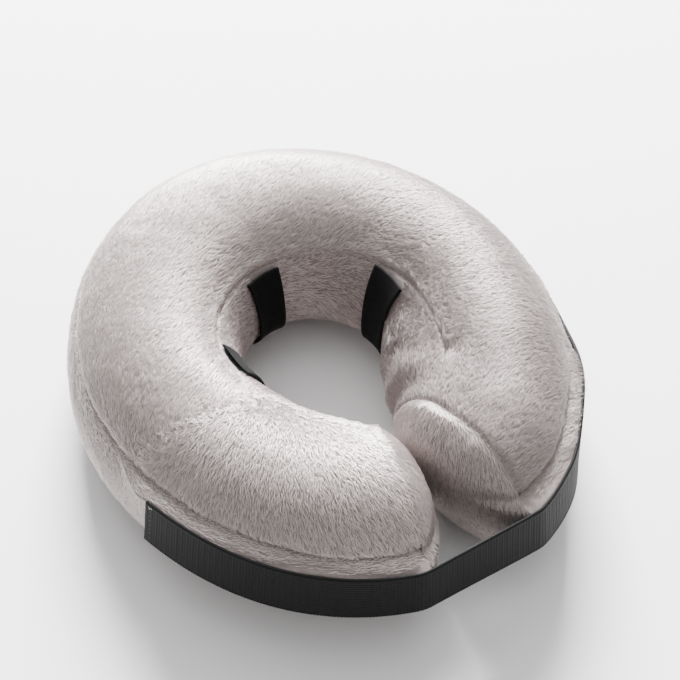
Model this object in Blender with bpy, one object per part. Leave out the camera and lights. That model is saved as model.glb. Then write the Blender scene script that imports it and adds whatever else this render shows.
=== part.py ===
"""Inflatable recovery collar for a dog or cat: a soft C-shaped ring worn round the neck.

A blow-up bladder sits in a plush cover sewn from a top panel, a bottom panel, an outer
gusset, an inner band and two end panels. Three black loops inside the neck opening hold
the animal's own collar. A black strap is sewn to the right arm, bridges the opening and
fastens to the left arm with hook and loop. A zip in the lower outer seam lets the bladder
out for washing, and a push-in air valve with a captive plug fills it.

Frame: metres, +Z up, the opening faces -Y, the right arm is +X. z = 0 is the face the
collar rests on, and the origin is the middle of that face's bounding box.

Two angles place everything on the tube:
  theta  round the ring: 0 at the opening, positive along the right arm, pi at the back
  phi    round the tube's section: 0 at the outer side, pi/2 at the top, pi at the inner side
A mesh is passed about as a (points, faces) pair.
"""

import math

import bmesh
import bpy
import numpy as np

# ------------------------------------------------------------------ ring and tube
RING_X, RING_Y = 0.00070, -0.00072  # the ring's own centre
RING_R = 0.0979  # centreline radius
RING_WAVES = {2: 0.081, 3: 0.0155, 4: 0.011}  # cosine order: share of the radius
TUBE_HALF = 0.0518  # half of the tube's width
TUBE_WAVES = {1: -0.015, 2: 0.052, 3: -0.017}  # cosine order: share of the width
TUBE_H = 0.0890
TUBE_WIDE_Z = 0.0326  # height of the widest point: the tube sags onto a broad base
TUBE_SINK = 0.0015  # how much of the section the flat underside takes off
TUBE_POWER = 2.19  # superellipse power of the section
SECTION_UP = TUBE_H - TUBE_WIDE_Z  # half heights above and below the widest point
SECTION_DOWN = TUBE_WIDE_Z + TUBE_SINK

# Seams, as section angles in radians
SEAM_OUT = 0.58  # upper outer
SEAM_LOW = 0.32  # lower outer, below the widest point
SEAM_IN, SEAM_IN_WAVE = 2.29, -0.217  # upper inner: it climbs towards the ends of the arms
SEAM_IN_LOW = 3.70  # lower inner

# Ends of the arms
GAP_IN, GAP_OUT = 0.0140, 0.0325  # half width of the opening at its inner and outer side
END_BULGE = 0.0185  # how far each end swells into the opening
END_DOME = 3.0  # power of that swelling: full towards its seam
END_TAPER = 0.05  # how much the tube narrows at its ends
END_TAPER_SHARE = 0.10  # over which share of its length
END_START = 0.2  # first guess for theta at the end of an arm

PLUSH = 0.0016  # cover fabric
SEAM_GAP = 0.0004  # between neighbouring cover panels
SEAM_R = 0.045  # nominal section radius that turns the seam gap into an angle
CUT_GAP = 0.0002  # each side of the middle of the back, where the halves meet
SPREAD_OUT = 0.0006  # spreading axis, behind the back of the cover
BLADDER_IN = 0.0032  # from the cover's outside to the bladder
BLADDER_WALL = 0.0010
BLADDER_END_GAP = 0.0015  # the bladder stops short of the cover's end seam

ARM_CELLS = 19  # cells along each half of the ring
ARM_SHARES = [i / ARM_CELLS for i in range(ARM_CELLS + 1)]

# ------------------------------------------------------------------ neck loops
LOOP_WIDTH = 0.020
LOOP_OFF, LOOP_T = 0.0009, 0.0013
LOOP_SEAM_INSET = 0.03  # radians of section angle short of each inner seam
LOOP_ANGLES = {"neck_loop_left": -93.0, "neck_loop_back": -174.0, "neck_loop_right": 101.0}

# ------------------------------------------------------------------ strap, degrees of theta
STRAP_Z0, STRAP_Z1 = 0.0322, 0.0622  # a 30 mm strap
STRAP_OFF, STRAP_T = 0.0031, 0.0014
STRAP_START, STRAP_END = 82.0, -71.0
STRAP_HINGES = (34.0, 13.0, -13.0, -33.0, -52.0)
STRAP_NAMES = (
    "strap_root", "strap_bend", "strap_bridge", "strap_wrap_1", "strap_wrap_2", "strap_tail",
)
STRAP_AXIS_OUT = 0.0047  # hinge axes lie just outside the webbing's outer face
STRAP_CUT = 0.00015  # taken off each end of a strap piece
STRAP_CUT_R = 0.15  # nominal outer radius that turns that cut into an angle
STRAP_STEP = 4  # degrees per cell, at most
ROOT_PRESS, ROOT_PRESS_RANGE = 0.0025, (35.0, 49.0)  # the sewn end lies closer to the tube
ROOT_DIP, ROOT_DIP_RANGE = 0.0160, (44.0, 70.0)  # and runs down it
HOOK_OFF, HOOK_T, HOOK_INSET = 0.0018, 0.0009, 0.0015
HOOK_START = -16.0
HOOK_TAIL_SHORT = 1.0  # degrees the hook tape stops before the strap's tip
PATCH_OFF, PATCH_T, PATCH_INSET = 0.0004, 0.0010, 0.0025
PATCH_START, PATCH_END = -18.0, -69.0
TANGENT_STEP = 0.05  # degrees each side, to find the outline's direction

# ------------------------------------------------------------------ air valve
VALVE_ANGLE = -160.0  # degrees of theta
VALVE_Z = 0.0360
FLANGE_R, FLANGE_HOLE = 0.0130, 0.0140
SOCKET_RO, SOCKET_RI, SOCKET_DEPTH = 0.0063, 0.0054, 0.0140
BLADDER_HOLE = 0.0067
STEM_RO, STEM_RI, STEM_DEPTH = 0.0050, 0.0033, 0.0120
PLUG_AXIS_UP, PLUG_AXIS_OUT = -0.0074, 0.0013
FLAP_R, FLAP_T = 0.0042, 0.0006
FLAP_GAP = 0.0003  # between the stem's inner end and the flap

# ------------------------------------------------------------------ zip
ZIP_ANGLES = (-112.0, -162.0)  # laid out on the left half, then mirrored to the right
ZIP_FIT_MARGIN = 8  # degrees beyond each end where the zip's circle meets the seam
ZIP_TAPE_INSET = 0.006  # the tape starts this far inside the coil's ends
ZIP_STOP_NEAR, ZIP_STOP_FAR = 0.0004, 0.0022  # a stop's faces, beyond the coil's end
ZIP_SLIDER = 0.0090  # slider length
ZIP_SLIDER_INSET = 3.2  # degrees from the zip's closed end to the slider's middle
ZIP_TAB = 0.0200  # from the pull's axis to its tip
TAB_OUT = 0.00635  # height of the pull's axis
TAB_T = 0.0006

# Outlines across the zip: (up across the tape, out of it)
TAPE_OUTLINE = [
    (0.0009, 0.0019), (0.0044, 0.0019), (0.0095, -0.0002),
    (0.0095, 0.0006), (0.0046, 0.0027), (0.0009, 0.0027),
]
COIL_OUTLINE = [(0.0005, 0.0030), (0.0019, 0.0030), (0.0019, 0.0042), (0.0005, 0.0042)]
STOP_OUTLINE = [(-0.0019, 0.0030), (0.0019, 0.0030), (0.0019, 0.0044), (-0.0019, 0.0044)]
SLIDER_OUTLINE = [
    (-0.0039, 0.0006), (0.0039, 0.0006), (0.0039, 0.00155), (0.00025, 0.00155),
    (0.00025, 0.0046), (0.0039, 0.0046), (0.0039, 0.0056), (-0.0039, 0.0056),
    (-0.0039, 0.0046), (-0.00025, 0.0046), (-0.00025, 0.00155), (-0.0039, 0.00155),
]
# Outline of the slider's bail: (along the travel, out of the tape)
BAIL_OUTLINE = [
    (-0.0030, 0.0053), (-0.0030, 0.0072), (-0.0022, 0.0079), (0.0022, 0.0079),
    (0.0030, 0.0072), (0.0030, 0.0053), (0.0017, 0.0053), (0.0017, 0.0071),
    (-0.0017, 0.0071), (-0.0017, 0.0053),
]
BAIL_HALF = 0.0006
# Outlines of the pull and its eye: (along the travel, up across the tape)
PULL_OUTLINE = [
    (-0.0005, -0.0024), (0.0060, -0.0030), (ZIP_TAB - 0.0015, -0.0030), (ZIP_TAB, -0.0018),
    (ZIP_TAB, 0.0018), (ZIP_TAB - 0.0015, 0.0030), (0.0060, 0.0030), (-0.0005, 0.0024),
]
EYE_OUTLINE = [(0.0005, -0.0012), (0.0052, -0.0012), (0.0052, 0.0012), (0.0005, 0.0012)]
EYE_CUT_HALF = 0.001

# ------------------------------------------------------------------ colours
GREY = (0.50, 0.46, 0.45)
PANEL_TINT = {"inner_band": 0.9, "end_panel": 0.95}  # the other panels keep the full grey
BLACK = (0.018, 0.018, 0.019)
CLEAR = (0.72, 0.76, 0.78)
ZIP_GREY = (0.32, 0.30, 0.30)
STOP_GREY = (0.5, 0.5, 0.5)
SLIDER_GREY = (0.42, 0.42, 0.43)


# ------------------------------------------------------------------ scene objects
def material(name, colour, roughness, metallic):
    mat = bpy.data.materials.new(name)
    mat.use_nodes = True
    shader = mat.node_tree.nodes["Principled BSDF"]
    shader.inputs["Base Color"].default_value = (*colour, 1.0)
    shader.inputs["Roughness"].default_value = roughness
    shader.inputs["Metallic"].default_value = metallic
    return mat


def world_of(parent):
    return np.array(parent["world_at"] if parent is not None else (0.0, 0.0, 0.0))


def pivot(name, place, parent=None):
    """An empty on a joint's axis, which remembers its place in the world."""
    empty = bpy.data.objects.new(name, None)
    bpy.context.scene.collection.objects.link(empty)
    empty["world_at"] = [float(c) for c in place]
    empty.location = np.array(place) - world_of(parent)
    empty.parent = parent
    empty.empty_display_size = 0.01
    return empty


def mesh_object(name, mesh, parent):
    """An object from a mesh in world points, its normals facing outward."""
    points, faces = mesh
    local = np.asarray(points, float) - world_of(parent)
    data = bpy.data.meshes.new(name)
    data.from_pydata([tuple(p) for p in local], [], [tuple(f) for f in faces])
    bm = bmesh.new()
    bm.from_mesh(data)
    bmesh.ops.recalc_face_normals(bm, faces=bm.faces)
    bm.to_mesh(data)
    bm.free()
    data.shade_smooth()
    data.set_sharp_from_angle(angle=math.radians(40))
    obj = bpy.data.objects.new(name, data)
    bpy.context.scene.collection.objects.link(obj)
    obj.parent = parent
    return obj


def part(name, mesh, colour, roughness, metallic=0.0, parent=None):
    """A visible piece with a material of its own name."""
    obj = mesh_object(name, mesh, parent)
    obj.data.materials.append(material(name, colour, roughness, metallic))
    return obj


def combine(target, operation, name, mesh, parent=None):
    """Apply a hidden helper solid to the target with a boolean modifier."""
    helper = mesh_object(name, mesh, parent)
    helper.hide_render = True
    helper.display_type = "WIRE"
    modifier = target.modifiers.new(operation.lower(), "BOOLEAN")
    modifier.operation = operation
    modifier.solver = "EXACT"
    modifier.object = helper


# ------------------------------------------------------------------ mesh helpers
def spaced(start, end, cells):
    return [start + (end - start) * i / cells for i in range(cells + 1)]


def slab(grid_a, grid_b):
    """A closed sheet between two point grids of the same size."""
    rows, cols = len(grid_a), len(grid_a[0])
    points = [p for grid in (grid_a, grid_b) for row in grid for p in row]

    def index(r, c, side):
        return (side * rows + r) * cols + c

    def edge_face(r0, c0, r1, c1):
        return index(r0, c0, 0), index(r1, c1, 0), index(r1, c1, 1), index(r0, c0, 1)

    faces = []
    for r in range(rows - 1):
        for c in range(cols - 1):
            for s in (0, 1):
                corners = ((r, c), (r + 1, c), (r + 1, c + 1), (r, c + 1))
                faces.append(tuple(index(*corner, s) for corner in corners))
    for r in range(rows - 1):
        for c in (0, cols - 1):
            faces.append(edge_face(r, c, r + 1, c))
    for c in range(cols - 1):
        for r in (0, rows - 1):
            faces.append(edge_face(r, c, r, c + 1))
    return points, faces


def capped(rings):
    """A skin through nested closed rings, the last of which is one point."""
    count = len(rings[0])
    points = [p for ring in rings[:-1] for p in ring]
    apex = len(points)
    points.append(rings[-1][0])
    faces = []
    for r in range(len(rings) - 2):
        for c in range(count):
            d = (c + 1) % count
            low, high = r * count, (r + 1) * count
            faces.append((low + c, low + d, high + d, high + c))
    low = (len(rings) - 2) * count
    for c in range(count):
        faces.append((low + c, low + (c + 1) % count, apex))
    return points, faces


def shell(rings_a, rings_b):
    """A closed wall between two capped skins, joined along their first rings."""
    points_a, faces_a = capped(rings_a)
    points_b, faces_b = capped(rings_b)
    shift = len(points_a)
    faces_b = [tuple(i + shift for i in face) for face in faces_b]
    count = len(rings_a[0])
    rim = []
    for c in range(count):
        d = (c + 1) % count
        rim.append((c, d, shift + d, shift + c))
    return points_a + points_b, faces_a + faces_b + rim


def prism(sections):
    """A solid through outlines of equal length, closed by its first and last."""
    count = len(sections[0])
    points = [p for outline in sections for p in outline]
    faces = []
    for i in range(len(sections) - 1):
        low, high = i * count, (i + 1) * count
        for j in range(count):
            k = (j + 1) % count
            faces.append((low + j, low + k, high + k, high + j))
    faces.append(tuple(range(count)))
    faces.append(tuple(range(len(points) - count, len(points)))[::-1])
    return points, faces


def mirrored(mesh):
    """The left arm's copy of a right arm mesh."""
    points, faces = mesh
    return [(2 * RING_X - x, y, z) for x, y, z in points], faces


# ------------------------------------------------------------------ the tube's surface
def waves(shares, theta):
    return sum((share * math.cos(order * theta) for order, share in shares.items()), 1.0)


def ring_radius(theta):
    return RING_R * waves(RING_WAVES, theta)


def half_width(theta):
    return TUBE_HALF * waves(TUBE_WAVES, theta)


def signed_power(value, exponent):
    return math.copysign(abs(value) ** exponent, value)


def section_angle(z):
    """Phi of the outer wall at height z."""
    half = SECTION_UP if z > TUBE_WIDE_Z else SECTION_DOWN
    return math.asin(signed_power((z - TUBE_WIDE_Z) / half, TUBE_POWER / 2))


def section(width, phi, off, shrink=1.0):
    """Point (out, z) of the tube's section, moved off along its own normal."""
    height = (SECTION_UP if math.sin(phi) > 0 else SECTION_DOWN) * shrink
    width = width * shrink
    unit_out = signed_power(math.cos(phi), 2 / TUBE_POWER)
    unit_up = signed_power(math.sin(phi), 2 / TUBE_POWER)
    normal_out = signed_power(unit_out, TUBE_POWER - 1) / width
    normal_up = signed_power(unit_up, TUBE_POWER - 1) / height
    length = math.hypot(normal_out, normal_up)
    out = width * unit_out + off * normal_out / length
    z = TUBE_WIDE_Z + height * unit_up + off * normal_up / length
    return out, max(z, -off)  # the underside is flat


def ring_point(theta, out, z):
    """World point at a distance out from the ring's centreline."""
    radius = ring_radius(theta) + out
    return RING_X + radius * math.sin(theta), RING_Y - radius * math.cos(theta), z


def wall_point(theta, phi, off=0.0, shrink=1.0):
    return ring_point(theta, *section(half_width(theta), phi, off, shrink))


def upper_inner_seam(theta):
    return SEAM_IN + SEAM_IN_WAVE * math.cos(theta)


def gap_half(out, width):
    """Half width of the opening at distance out from the centreline."""
    return GAP_IN + (GAP_OUT - GAP_IN) * (out + width) / (2 * width)


def solve_theta(start, x_at, phi_at, off, shrink):
    """Theta at which the surface lies x_at(out, width) to the side of the ring's centre."""
    theta = start
    for _ in range(12):
        width = half_width(theta)
        out, _z = section(width, phi_at(theta), off, shrink)
        turn = math.asin(x_at(out, width) / (ring_radius(theta) + out))
        theta = turn if start < math.pi / 2 else math.pi - turn
    return theta


def shrink_at(share):
    taper = max(0.0, (share - (1 - END_TAPER_SHARE)) / END_TAPER_SHARE)
    return 1 - END_TAPER * taper * taper


def arm_point(share, phi_at, off, end_gap=0.0):
    """Right arm's surface: share 0 at the back cut, 1 at the end seam."""
    back = solve_theta(math.pi, lambda out, width: CUT_GAP, phi_at, off, 1.0)
    end = solve_theta(
        END_START, lambda out, width: gap_half(out, width) + end_gap, phi_at, off, shrink_at(1.0)
    )
    theta = back + (end - back) * share
    return wall_point(theta, phi_at(theta), off, shrink_at(share))


def fixed(phi):
    return lambda theta: phi


def between(low, high, cells):
    """Functions giving phi from theta, evenly spread between two seams."""
    return [
        lambda theta, k=i / cells: low(theta) + (high(theta) - low(theta)) * k
        for i in range(cells + 1)
    ]


BOTTOM = 1.5 * math.pi
FLAT_HALF = math.pi / 2 - math.asin((TUBE_WIDE_Z / SECTION_DOWN) ** (TUBE_POWER / 2))
PHI_TOP = between(fixed(SEAM_OUT), upper_inner_seam, 6)
PHI_INNER = between(upper_inner_seam, fixed(SEAM_IN_LOW), 5)
PHI_BOTTOM = (
    between(fixed(SEAM_IN_LOW), fixed(BOTTOM - FLAT_HALF), 2)
    + between(fixed(BOTTOM), fixed(BOTTOM + FLAT_HALF), 1)
    + between(fixed(BOTTOM + FLAT_HALF), fixed(2 * math.pi - SEAM_LOW), 3)[1:]
)
PHI_OUTER = between(fixed(-SEAM_LOW), fixed(SEAM_OUT), 5)
PHI_AROUND = PHI_TOP[:-1] + PHI_INNER[:-1] + PHI_BOTTOM[:-1] + PHI_OUTER[:-1]


# ------------------------------------------------------------------ cover and bladder
def cover_panel(phis):
    """A panel of the right arm, pulled in at both seams by half the seam gap."""
    trim = SEAM_GAP / 2 / SEAM_R
    first, last = phis[0], phis[-1]
    phis = [
        lambda theta: first(theta) + trim,
        *phis[1:-1],
        lambda theta: last(theta) - trim,
    ]
    outer, inner = (
        [[arm_point(share, phi, off) for phi in phis] for share in ARM_SHARES]
        for off in (0.0, -PLUSH)
    )
    return slab(outer, inner)


def dome(edge, cells, bulge, shift=0.0, middle_shift=0.0):
    """Rings from an end edge to its middle, swelling towards -X into the opening.

    shift moves every ring along X, middle_shift grows from nothing at the edge.
    """
    middle = [sum(c) / len(edge) for c in zip(*edge)]
    rings = []
    for k in range(cells + 1):
        scale = 1 - k / cells
        move = shift + middle_shift * (1 - scale) - bulge * (1 - scale**END_DOME)
        ring = []
        for point in edge:
            x, y, z = (m + (p - m) * scale for m, p in zip(middle, point))
            ring.append((x + move, y, z))
        rings.append(ring)
    return rings


def end_panel():
    edge = [arm_point(1.0, phi, 0.0) for phi in PHI_AROUND]
    return shell(
        dome(edge, 4, END_BULGE, shift=-SEAM_GAP - PLUSH),
        dome(edge, 4, END_BULGE, shift=-SEAM_GAP),
    )


def bladder():
    """A tube with a domed end, open where the two halves meet."""

    def skin(off, bulge, middle_shift):
        rings = [
            [arm_point(share, phi, off, BLADDER_END_GAP) for phi in PHI_AROUND]
            for share in ARM_SHARES
        ]
        return rings + dome(rings[-1], 3, bulge, middle_shift=middle_shift)[1:]

    return shell(
        skin(-BLADDER_IN, bulge=END_BULGE, middle_shift=0.0),
        skin(-BLADDER_IN - BLADDER_WALL, bulge=END_BULGE - 0.0004, middle_shift=0.0010),
    )


def build_cover(spread):
    panels = {
        "cover_top": cover_panel(PHI_TOP),
        "inner_band": cover_panel(PHI_INNER),
        "cover_bottom": cover_panel(PHI_BOTTOM),
        "outer_gusset": cover_panel(PHI_OUTER),
        "end_panel": end_panel(),
    }
    cover = {}
    for panel, mesh in panels.items():
        colour = tuple(c * PANEL_TINT.get(panel, 1.0) for c in GREY)
        right, left = f"{panel}_right", f"{panel}_left"
        cover[right] = part(right, mesh, colour, roughness=0.95, parent=spread)
        cover[left] = part(left, mirrored(mesh), colour, roughness=0.95)
    return cover


def build_bladder(spread):
    """Both halves; returns the left one, which takes the valve."""
    mesh = bladder()
    part("bladder_right", mesh, CLEAR, roughness=0.25, parent=spread)
    return part("bladder_left", mirrored(mesh), CLEAR, roughness=0.25)


# ------------------------------------------------------------------ neck loops
def neck_loop(degrees):
    """A strap over the inner band from its top seam to its bottom seam."""
    middle = math.radians(degrees)
    phis = spaced(upper_inner_seam(middle) + LOOP_SEAM_INSET, SEAM_IN_LOW - LOOP_SEAM_INSET, 8)
    reach = LOOP_WIDTH / 2 / (ring_radius(middle) - half_width(middle))
    reach = math.copysign(reach, degrees)
    thetas = [middle + reach * share for share in (-1, -0.5, 0, 0.5, 1)]
    outer, inner = (
        [[wall_point(theta, phi, off) for phi in phis] for theta in thetas]
        for off in (LOOP_OFF + LOOP_T, LOOP_OFF)
    )
    return slab(outer, inner)


def build_neck_loops(spread):
    for name, degrees in LOOP_ANGLES.items():
        parent = spread if name.endswith("right") else None
        part(name, neck_loop(degrees), BLACK, roughness=0.8, parent=parent)


# ------------------------------------------------------------------ strap
def outline_at(degrees):
    """Plan point on the tube's widest outline, and the outward direction there."""

    def plan(deg):
        theta = math.radians(deg)
        return np.array(ring_point(theta, half_width(theta), 0.0)[:2])

    tangent = plan(degrees + TANGENT_STEP) - plan(degrees - TANGENT_STEP)
    tangent /= np.linalg.norm(tangent)
    return plan(degrees), np.array([tangent[1], -tangent[0]])


def curved_path(start, end):
    """Plan points and normals along the tube, for a strap piece between two angles."""
    degrees = spaced(start, end, max(2, math.ceil(abs(end - start) / STRAP_STEP)))
    cut = math.degrees(STRAP_CUT / STRAP_CUT_R)
    degrees[0] -= cut
    degrees[-1] += cut
    return tuple(zip(*(outline_at(deg) for deg in degrees)))


def straight_path(start, end):
    """Plan points and normals straight across the opening."""
    first, last = outline_at(start)[0], outline_at(end)[0]
    along = (last - first) / np.linalg.norm(last - first)
    normal = np.array([-along[1], along[0]])
    points = [first + along * STRAP_CUT, (first + last) / 2, last - along * STRAP_CUT]
    return points, [normal] * 3


def ribbon(path, off, thickness, z_low, z_high, lay):
    """A flat strap along a path; lay gives (move inward, move down) at each point."""

    def skin(distance):
        grid = []
        for point, normal, (press, dip) in zip(*path, lay):
            x, y = point + normal * (distance - press)
            grid.append([(x, y, z_low - dip), (x, y, z_high - dip)])
        return grid

    return slab(skin(off + thickness), skin(off))


def ease(value, low, high):
    """Smooth step from 0 at low to 1 at high."""
    k = min(1.0, max(0.0, (value - low) / (high - low)))
    return k * k * (3 - 2 * k)


def root_lay(degrees):
    """How far the strap is pressed in and runs down at an angle."""
    return ROOT_PRESS * ease(degrees, *ROOT_PRESS_RANGE), ROOT_DIP * ease(degrees, *ROOT_DIP_RANGE)


def strap_piece(name, start, end):
    path = straight_path(start, end) if name == "strap_bridge" else curved_path(start, end)
    lay = [root_lay(deg) for deg in spaced(start, end, len(path[0]) - 1)]
    return ribbon(path, STRAP_OFF, STRAP_T, STRAP_Z0, STRAP_Z1, lay)


def hook_tape(start, end):
    path = curved_path(start, end)
    flat = [(0.0, 0.0)] * len(path[0])
    return ribbon(path, HOOK_OFF, HOOK_T, STRAP_Z0 + HOOK_INSET, STRAP_Z1 - HOOK_INSET, flat)


def build_strap(spread):
    """A chain of pieces from the right arm to the left, each hinged on the one before."""
    stations = [STRAP_START, *STRAP_HINGES, STRAP_END]
    parent = spread
    for name, start, end in zip(STRAP_NAMES, stations, stations[1:]):
        if name != "strap_root":
            point, normal = outline_at(start)
            x, y = point + normal * STRAP_AXIS_OUT
            parent = pivot(f"{name}_pivot", (x, y, (STRAP_Z0 + STRAP_Z1) / 2), parent)
        part(name, strap_piece(name, start, end), BLACK, roughness=0.75, parent=parent)
        if name in ("strap_wrap_1", "strap_wrap_2", "strap_tail"):
            hook_start = HOOK_START if name == "strap_wrap_1" else start
            hook_end = end + HOOK_TAIL_SHORT if name == "strap_tail" else end
            hook = name.replace("strap", "hook_tape")
            part(hook, hook_tape(hook_start, hook_end), BLACK, roughness=0.6, parent=parent)


def build_loop_patch():
    """The loop strip sewn on the left arm's gusset, under the strap's tail."""
    steps = math.ceil(abs(PATCH_END - PATCH_START) / STRAP_STEP)
    thetas = [math.radians(deg) for deg in spaced(PATCH_START, PATCH_END, steps)]
    heights = spaced(STRAP_Z0 + PATCH_INSET, STRAP_Z1 - PATCH_INSET, 5)
    phis = [section_angle(z) for z in heights]
    outer, inner = (
        [[wall_point(theta, phi, off) for phi in phis] for theta in thetas]
        for off in (PATCH_OFF + PATCH_T, PATCH_OFF)
    )
    part("loop_patch", slab(outer, inner), BLACK, roughness=0.9)


# ------------------------------------------------------------------ air valve
# The valve's frame: its origin on the gusset's outside, and its three directions
VALVE_AT = np.array(wall_point(math.radians(VALVE_ANGLE), section_angle(VALVE_Z)))
VALVE_OUT = np.array([*outline_at(VALVE_ANGLE)[1], 0.0])
VALVE_UP = np.array([0.0, 0.0, 1.0])
VALVE_SIDE = np.cross(VALVE_UP, VALVE_OUT)


def valve_point(up, side, out):
    return tuple(VALVE_AT + VALVE_UP * up + VALVE_SIDE * side + VALVE_OUT * out)


def lathe(profile, segments=24):
    """A profile of (radius, distance out) turned about the valve's axis.

    A profile that ends on the axis at both ends is left open there; any other is a loop.
    """
    points, faces, rows = [], [], []
    for radius, out in profile:
        count = segments if radius else 1
        rows.append(list(range(len(points), len(points) + count)))
        for i in range(count):
            angle = 2 * math.pi * i / segments
            points.append(valve_point(radius * math.cos(angle), radius * math.sin(angle), out))
    is_loop = all(radius for radius, _out in profile)
    next_rows = rows[1:] + rows[:1] if is_loop else rows[1:]
    for low, high in zip(rows, next_rows):
        for i in range(segments):
            j = (i + 1) % segments
            if len(low) == 1:
                faces.append((low[0], high[j], high[i]))
            elif len(high) == 1:
                faces.append((low[i], low[j], high[0]))
            else:
                faces.append((low[i], low[j], high[j], high[i]))
    return points, faces


def valve_cylinder(radius, inner, outer, segments=24):
    return lathe([(0, inner), (radius, inner), (radius, outer), (0, outer)], segments)


def valve_box(up, side, out):
    """A box in the valve's own directions, from three (low, high) pairs."""
    points = [valve_point(u, s, o) for o in out for s in side for u in up]
    faces = [(0, 1, 3, 2), (4, 6, 7, 5), (0, 4, 5, 1), (2, 3, 7, 6), (0, 2, 6, 4), (1, 5, 7, 3)]
    return points, faces


def build_flange():
    """The welded ring and its socket."""
    profile = [
        (SOCKET_RI, -0.0011),
        (FLANGE_R - 0.0006, -0.0011),
        (FLANGE_R, -0.0016),
        (FLANGE_R, -0.0026),
        (SOCKET_RO, -0.0026),
        (SOCKET_RO, -SOCKET_DEPTH),
        (SOCKET_RI, -SOCKET_DEPTH),
    ]
    part("valve_flange", lathe(profile, segments=28), CLEAR, roughness=0.3)


def build_stem():
    """The push-in tube with a lug below it for the plug; returns its pivot."""
    stem_pivot = pivot("valve_stem_pivot", VALVE_AT)
    profile = [
        (STEM_RI, 0.0006),
        (0.0062, 0.0006),
        (0.0066, 0.0002),
        (0.0066, -0.0008),
        (STEM_RO, -0.0008),
        (STEM_RO, -STEM_DEPTH),
        (STEM_RI, -STEM_DEPTH),
    ]
    stem = part("valve_stem", lathe(profile), CLEAR, roughness=0.3, parent=stem_pivot)
    lug = valve_box(up=(-0.0086, -0.0058), side=(-0.0016, 0.0016), out=(-0.00075, 0.00055))
    combine(stem, "UNION", "stem_lug_guide", lug, stem_pivot)
    return stem_pivot


def build_plug(stem_pivot):
    """The captive plug with its tether."""
    place = valve_point(PLUG_AXIS_UP, 0, PLUG_AXIS_OUT)
    plug_pivot = pivot("valve_plug_pivot", place, stem_pivot)
    profile = [
        (0, 0.0022),
        (0.0038, 0.0022),
        (0.0044, 0.0018),
        (0.0044, 0.0009),
        (0.0030, 0.0009),
        (0.0023, -0.0025),
        (0, -0.0025),
    ]
    plug = part("valve_plug", lathe(profile), CLEAR, roughness=0.3, parent=plug_pivot)
    tether = valve_box(up=(-0.0077, -0.0036), side=(-0.0013, 0.0013), out=(0.00095, 0.00165))
    combine(plug, "UNION", "plug_tether_guide", tether, plug_pivot)


def build_check_flap(stem_pivot):
    """The disc at the stem's inner end, hinged at its upper edge."""
    near = -STEM_DEPTH - FLAP_GAP
    place = valve_point(FLAP_R, 0, near - FLAP_T / 2)
    flap_pivot = pivot("valve_flap_pivot", place, stem_pivot)
    disc = valve_cylinder(FLAP_R, near, near - FLAP_T)
    part("valve_check_flap", disc, CLEAR, roughness=0.4, parent=flap_pivot)


def build_valve(gusset, bladder_half):
    gusset_hole = valve_cylinder(FLANGE_HOLE, inner=-0.006, outer=0.004, segments=32)
    combine(gusset, "DIFFERENCE", "valve_hole_in_gusset", gusset_hole)
    bladder_hole = valve_cylinder(BLADDER_HOLE, inner=-0.010, outer=0.001, segments=32)
    combine(bladder_half, "DIFFERENCE", "valve_hole_in_bladder", bladder_hole)
    build_flange()
    stem_pivot = build_stem()
    build_plug(stem_pivot)
    build_check_flap(stem_pivot)


# ------------------------------------------------------------------ zip
def zip_seam_point(degrees):
    """Plan point of the lower outer seam."""
    return np.array(wall_point(math.radians(degrees), -SEAM_LOW)[:2])


def circle_through(first, second, third):
    """Centre and radius of the circle through three plan points."""
    matrix = 2 * np.array([second - first, third - first])
    squares = np.array([second @ second - first @ first, third @ third - first @ first])
    centre = np.linalg.solve(matrix, squares)
    return centre, float(np.linalg.norm(first - centre))


def seam_tilt():
    """How far the surface at the lower outer seam faces down, in radians."""
    unit_out = math.cos(SEAM_LOW) ** (2 / TUBE_POWER)
    unit_down = math.sin(SEAM_LOW) ** (2 / TUBE_POWER)
    return math.atan2(
        unit_down ** (TUBE_POWER - 1) / SECTION_DOWN, unit_out ** (TUBE_POWER - 1) / TUBE_HALF
    )


ZIP_C, ZIP_R = circle_through(
    zip_seam_point(ZIP_ANGLES[0] - ZIP_FIT_MARGIN),
    zip_seam_point(sum(ZIP_ANGLES) / 2),
    zip_seam_point(ZIP_ANGLES[1] + ZIP_FIT_MARGIN),
)
ZIP_Z = section(TUBE_HALF, -SEAM_LOW, 0.0)[1]
ZIP_TILT = seam_tilt()


def arc_angle(degrees):
    """Angle about the zip's own centre, before mirroring."""
    x, y = zip_seam_point(degrees) - ZIP_C
    return math.atan2(y, x)


# The arc's angle falls from the closed end to the open end, nearer the back
ARC_CLOSED, ARC_OPEN = (arc_angle(degrees) for degrees in ZIP_ANGLES)
ARC_SLIDER = ARC_CLOSED - math.radians(ZIP_SLIDER_INSET)


def zip_point(arc, up, out, along=0.0):
    """A point by the zip: up across the tape, out of it, along towards the open end."""
    radial = np.array([math.cos(arc), math.sin(arc), 0.0])
    travel = np.array([math.sin(arc), -math.cos(arc), 0.0])
    radius = ZIP_R + out * math.cos(ZIP_TILT) + up * math.sin(ZIP_TILT)
    z = ZIP_Z - out * math.sin(ZIP_TILT) + up * math.cos(ZIP_TILT)
    x, y, z = np.array([*ZIP_C, z]) + radial * radius + travel * along
    return 2 * RING_X - x, y, z


def arc_sweep(outline, start, end, steps):
    """An (up, out) outline swept along the zip's arc."""
    return prism(
        [[zip_point(arc, up, out) for up, out in outline] for arc in spaced(start, end, steps)]
    )


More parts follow.
